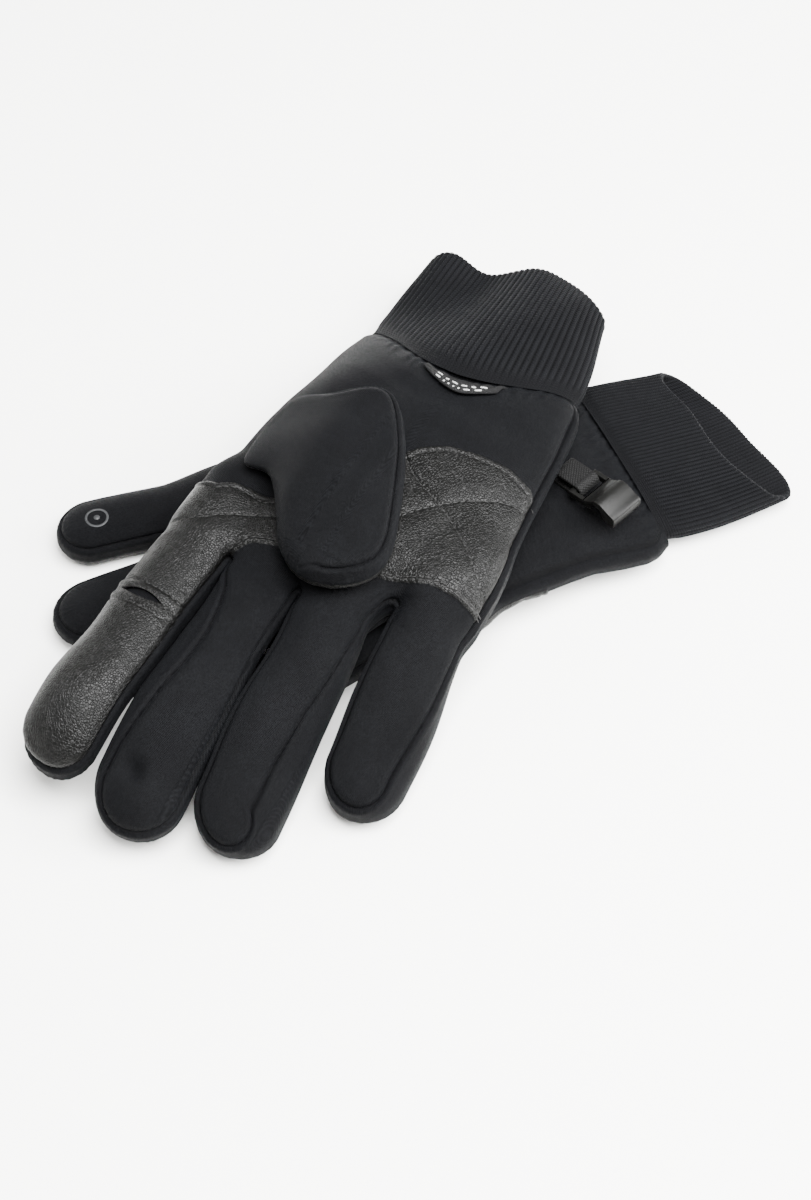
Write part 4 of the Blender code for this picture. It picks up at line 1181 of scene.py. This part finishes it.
CLIP_WIDTH, LOOP_WIDTH, LOOP_LENGTH, LOOP_HEIGHT = 14.0, 9.6, 8.5, 5.2
CLIP_HEADING, CLIP_RISE_DEG = -45.3, 7.0
CLIP_PROFILE = (
    (-1.3, 0.0), (-0.9, 0.95), (0.0, 1.3), (6.4, 1.5), (9.0, 2.5), (11.4, 4.2), (13.4, 4.7), (15.6, 4.1),
    (18.4, 2.6), (20.6, 1.7), (21.2, 0.6), (20.8, -2.4), (19.6, -3.1), (16.8, -2.4), (15.2, -0.6),
    (14.7, 0.9), (13.6, 1.8), (11.0, 1.8), (10.2, 0.1), (9.3, -0.9), (6.4, -1.3), (0.0, -1.3), (-0.9, -0.95),
)
CLIP_WINDOW = ((1.3, -9.0), (6.4, -9.0), (6.4, 9.0), (1.3, 9.0))
CLIP_GROOVE = ((8.6, 3.3), (12.4, 6.6), (12.4, 8.0), (8.6, 8.0))
GROOVE_WIDTH, CLIP_ROUND, LOOP_THICK = 5.2, 0.55, 0.95


def clip_axes():
    """The clip's lengthwise, crosswise and upward directions in the world."""
    turn, rise = math.radians(CLIP_HEADING), math.radians(CLIP_RISE_DEG)
    side = Vector((-math.sin(turn), math.cos(turn), 0.0))
    length = Vector((math.cos(turn) * math.cos(rise), math.sin(turn) * math.cos(rise), math.sin(rise)))
    return length, side, length.cross(side)


def solid_from(name, outline, wide):
    """A slab of plastic across the clip from an outline along it, centred on the bar."""
    length, side, up = clip_axes()
    bar = Vector(joints["left_hook_swivel"]["pos_m"])
    bm = bmesh.new()
    rim = [bm.verts.new(bar + (length * x + up * z - side * wide / 2) * MM) for x, z in outline]
    face = bm.faces.new(rim)
    moved = bmesh.ops.extrude_face_region(bm, geom=[face])["geom"]
    for item in moved:
        if isinstance(item, bmesh.types.BMVert):
            item.co += side * wide * MM
    bmesh.ops.recalc_face_normals(bm, faces=bm.faces)
    mesh = bpy.data.meshes.new(name)
    bm.to_mesh(mesh)
    bm.free()
    mesh.materials.append(plastic)
    made = bpy.data.objects.new(name, mesh)
    bpy.context.scene.collection.objects.link(made)
    return made


def apply_modifiers(made):
    graph = bpy.context.evaluated_depsgraph_get()
    mesh = bpy.data.meshes.new_from_object(made.evaluated_get(graph))
    made.modifiers.clear()
    made.data = mesh
    mesh.shade_smooth()
    mesh.set_sharp_from_angle(angle=math.radians(50))


def build_clip():
    """The webbing loop and the moulded hook that hangs in it."""
    length, side, up = clip_axes()
    bar = Vector(joints["left_hook_swivel"]["pos_m"])
    hook = solid_from("left_hook_body", curve(CLIP_PROFILE, 0.45, closed=True)[:-1].tolist(), CLIP_WIDTH)
    window = solid_from("window_cutter", CLIP_WINDOW, LOOP_WIDTH + 1.2)
    cutters = (window, solid_from("groove_cutter", CLIP_GROOVE, GROOVE_WIDTH))
    for cutter in cutters:
        boolean = hook.modifiers.new("cut", "BOOLEAN")
        boolean.operation, boolean.object, boolean.solver = "DIFFERENCE", cutter, "EXACT"
    bevel = hook.modifiers.new("round", "BEVEL")
    bevel.width, bevel.segments = CLIP_ROUND * MM, 4
    bevel.limit_method, bevel.angle_limit = "ANGLE", math.radians(45)
    apply_modifiers(hook)
    for cutter in cutters:
        bpy.data.objects.remove(cutter, do_unlink=True)
    attach(hook, left, "hook", "hook_plastic", "clip_hook")
    radius = LOOP_HEIGHT / 2
    near = [math.pi / 2 - math.pi * k / 12 for k in range(13)]
    far = [math.pi * k / 8 for k in range(9)]
    outer = [(radius * math.cos(turn) + 0.5, radius * math.sin(turn)) for turn in near]
    outer += [(-LOOP_LENGTH - radius * math.sin(turn), -radius * math.cos(turn)) for turn in far]
    ring = curve(outer, 0.6, closed=True)[:-1]
    across = np.linspace(-0.5, 0.5, 17) * LOOP_WIDTH
    edges = np.cumsum(np.linalg.norm(np.roll(ring, -1, 0) - ring, axis=1))
    points = np.array([[bar + (length * x + up * z + side * s) * MM for s in across] for x, z in ring])
    cloth = np.array([[(run, s, 0.0) for s in across] for run in edges])
    tri = split_quads(grid_faces(*points.shape[:2], join_rows=True))
    flat = points.reshape(-1, 3)
    normals = vertex_normals(flat, tri)
    middle = flat.mean(0)
    if ((flat - middle) * normals).sum() < 0:
        tri, normals = tri[:, ::-1], -normals
    solid, faces, source = thicken(flat + normals * 0.2 * MM, normals, tri, LOOP_THICK * MM)
    loop = mesh_object("left_loop_tape", solid, faces, webbing, cloth=cloth.reshape(-1, 3)[source])
    attach(loop, left, "loop", "webbing", "webbing_loop")


for each in (left, right):
    surface = build_glove(each)
    palm_stitches(each, surface)
    build_thumb(each)
    build_cuff(each)
    build_label(each, surface)
    build_mark(each, surface)
build_clip()


# ---------------------------------------------------------------- stage
AIMED_AT, ELEVATION_DEG, CAMERA_AWAY = (-0.0063, -0.0220, 0.0), 55.0, 0.9525
LENS_MM, SENSOR_MM = 80.0, 36.0
FLOOR_COLOUR, SKY_COLOUR, SKY_STRENGTH = (0.93, 0.93, 0.905, 1.0), (1.0, 1.0, 0.985, 1.0), 0.75
LIGHTS = (
    ("key", (0.30, -0.25, 1.35), 1.0, 155.0),
    ("side", (-1.1, 0.30, 0.9), 0.8, 12.0),
    ("fill", (1.2, -0.10, 0.7), 0.8, 80.0),
)


def studio():
    scene = bpy.context.scene
    elevation = math.radians(ELEVATION_DEG)
    away = Vector((0.0, -math.cos(elevation), math.sin(elevation)))
    camera = bpy.data.objects.new("camera", bpy.data.cameras.new("camera"))
    camera.data.lens, camera.data.sensor_width = LENS_MM, SENSOR_MM
    camera.location = Vector(AIMED_AT) + away * CAMERA_AWAY
    camera.rotation_euler = (math.pi / 2 - elevation, 0.0, 0.0)
    scene.collection.objects.link(camera)
    scene.camera = camera
    bpy.ops.mesh.primitive_plane_add(size=6.0)
    floor = bpy.context.object
    floor.name = "floor"
    floor.data.materials.append(Nodes("paper").finish(FLOOR_COLOUR, 0.6))
    scene.world = bpy.data.worlds.new("studio")
    scene.world.use_nodes = True
    sky = scene.world.node_tree.nodes["Background"]
    sky.inputs["Color"].default_value = SKY_COLOUR
    sky.inputs["Strength"].default_value = SKY_STRENGTH
    for name, place, size, power in LIGHTS:
        light = bpy.data.objects.new(name, bpy.data.lights.new(name, "AREA"))
        light.data.size, light.data.energy = size, power
        light.location = place
        light.rotation_euler = (-light.location).to_track_quat("-Z", "Y").to_euler()
        scene.collection.objects.link(light)


studio()
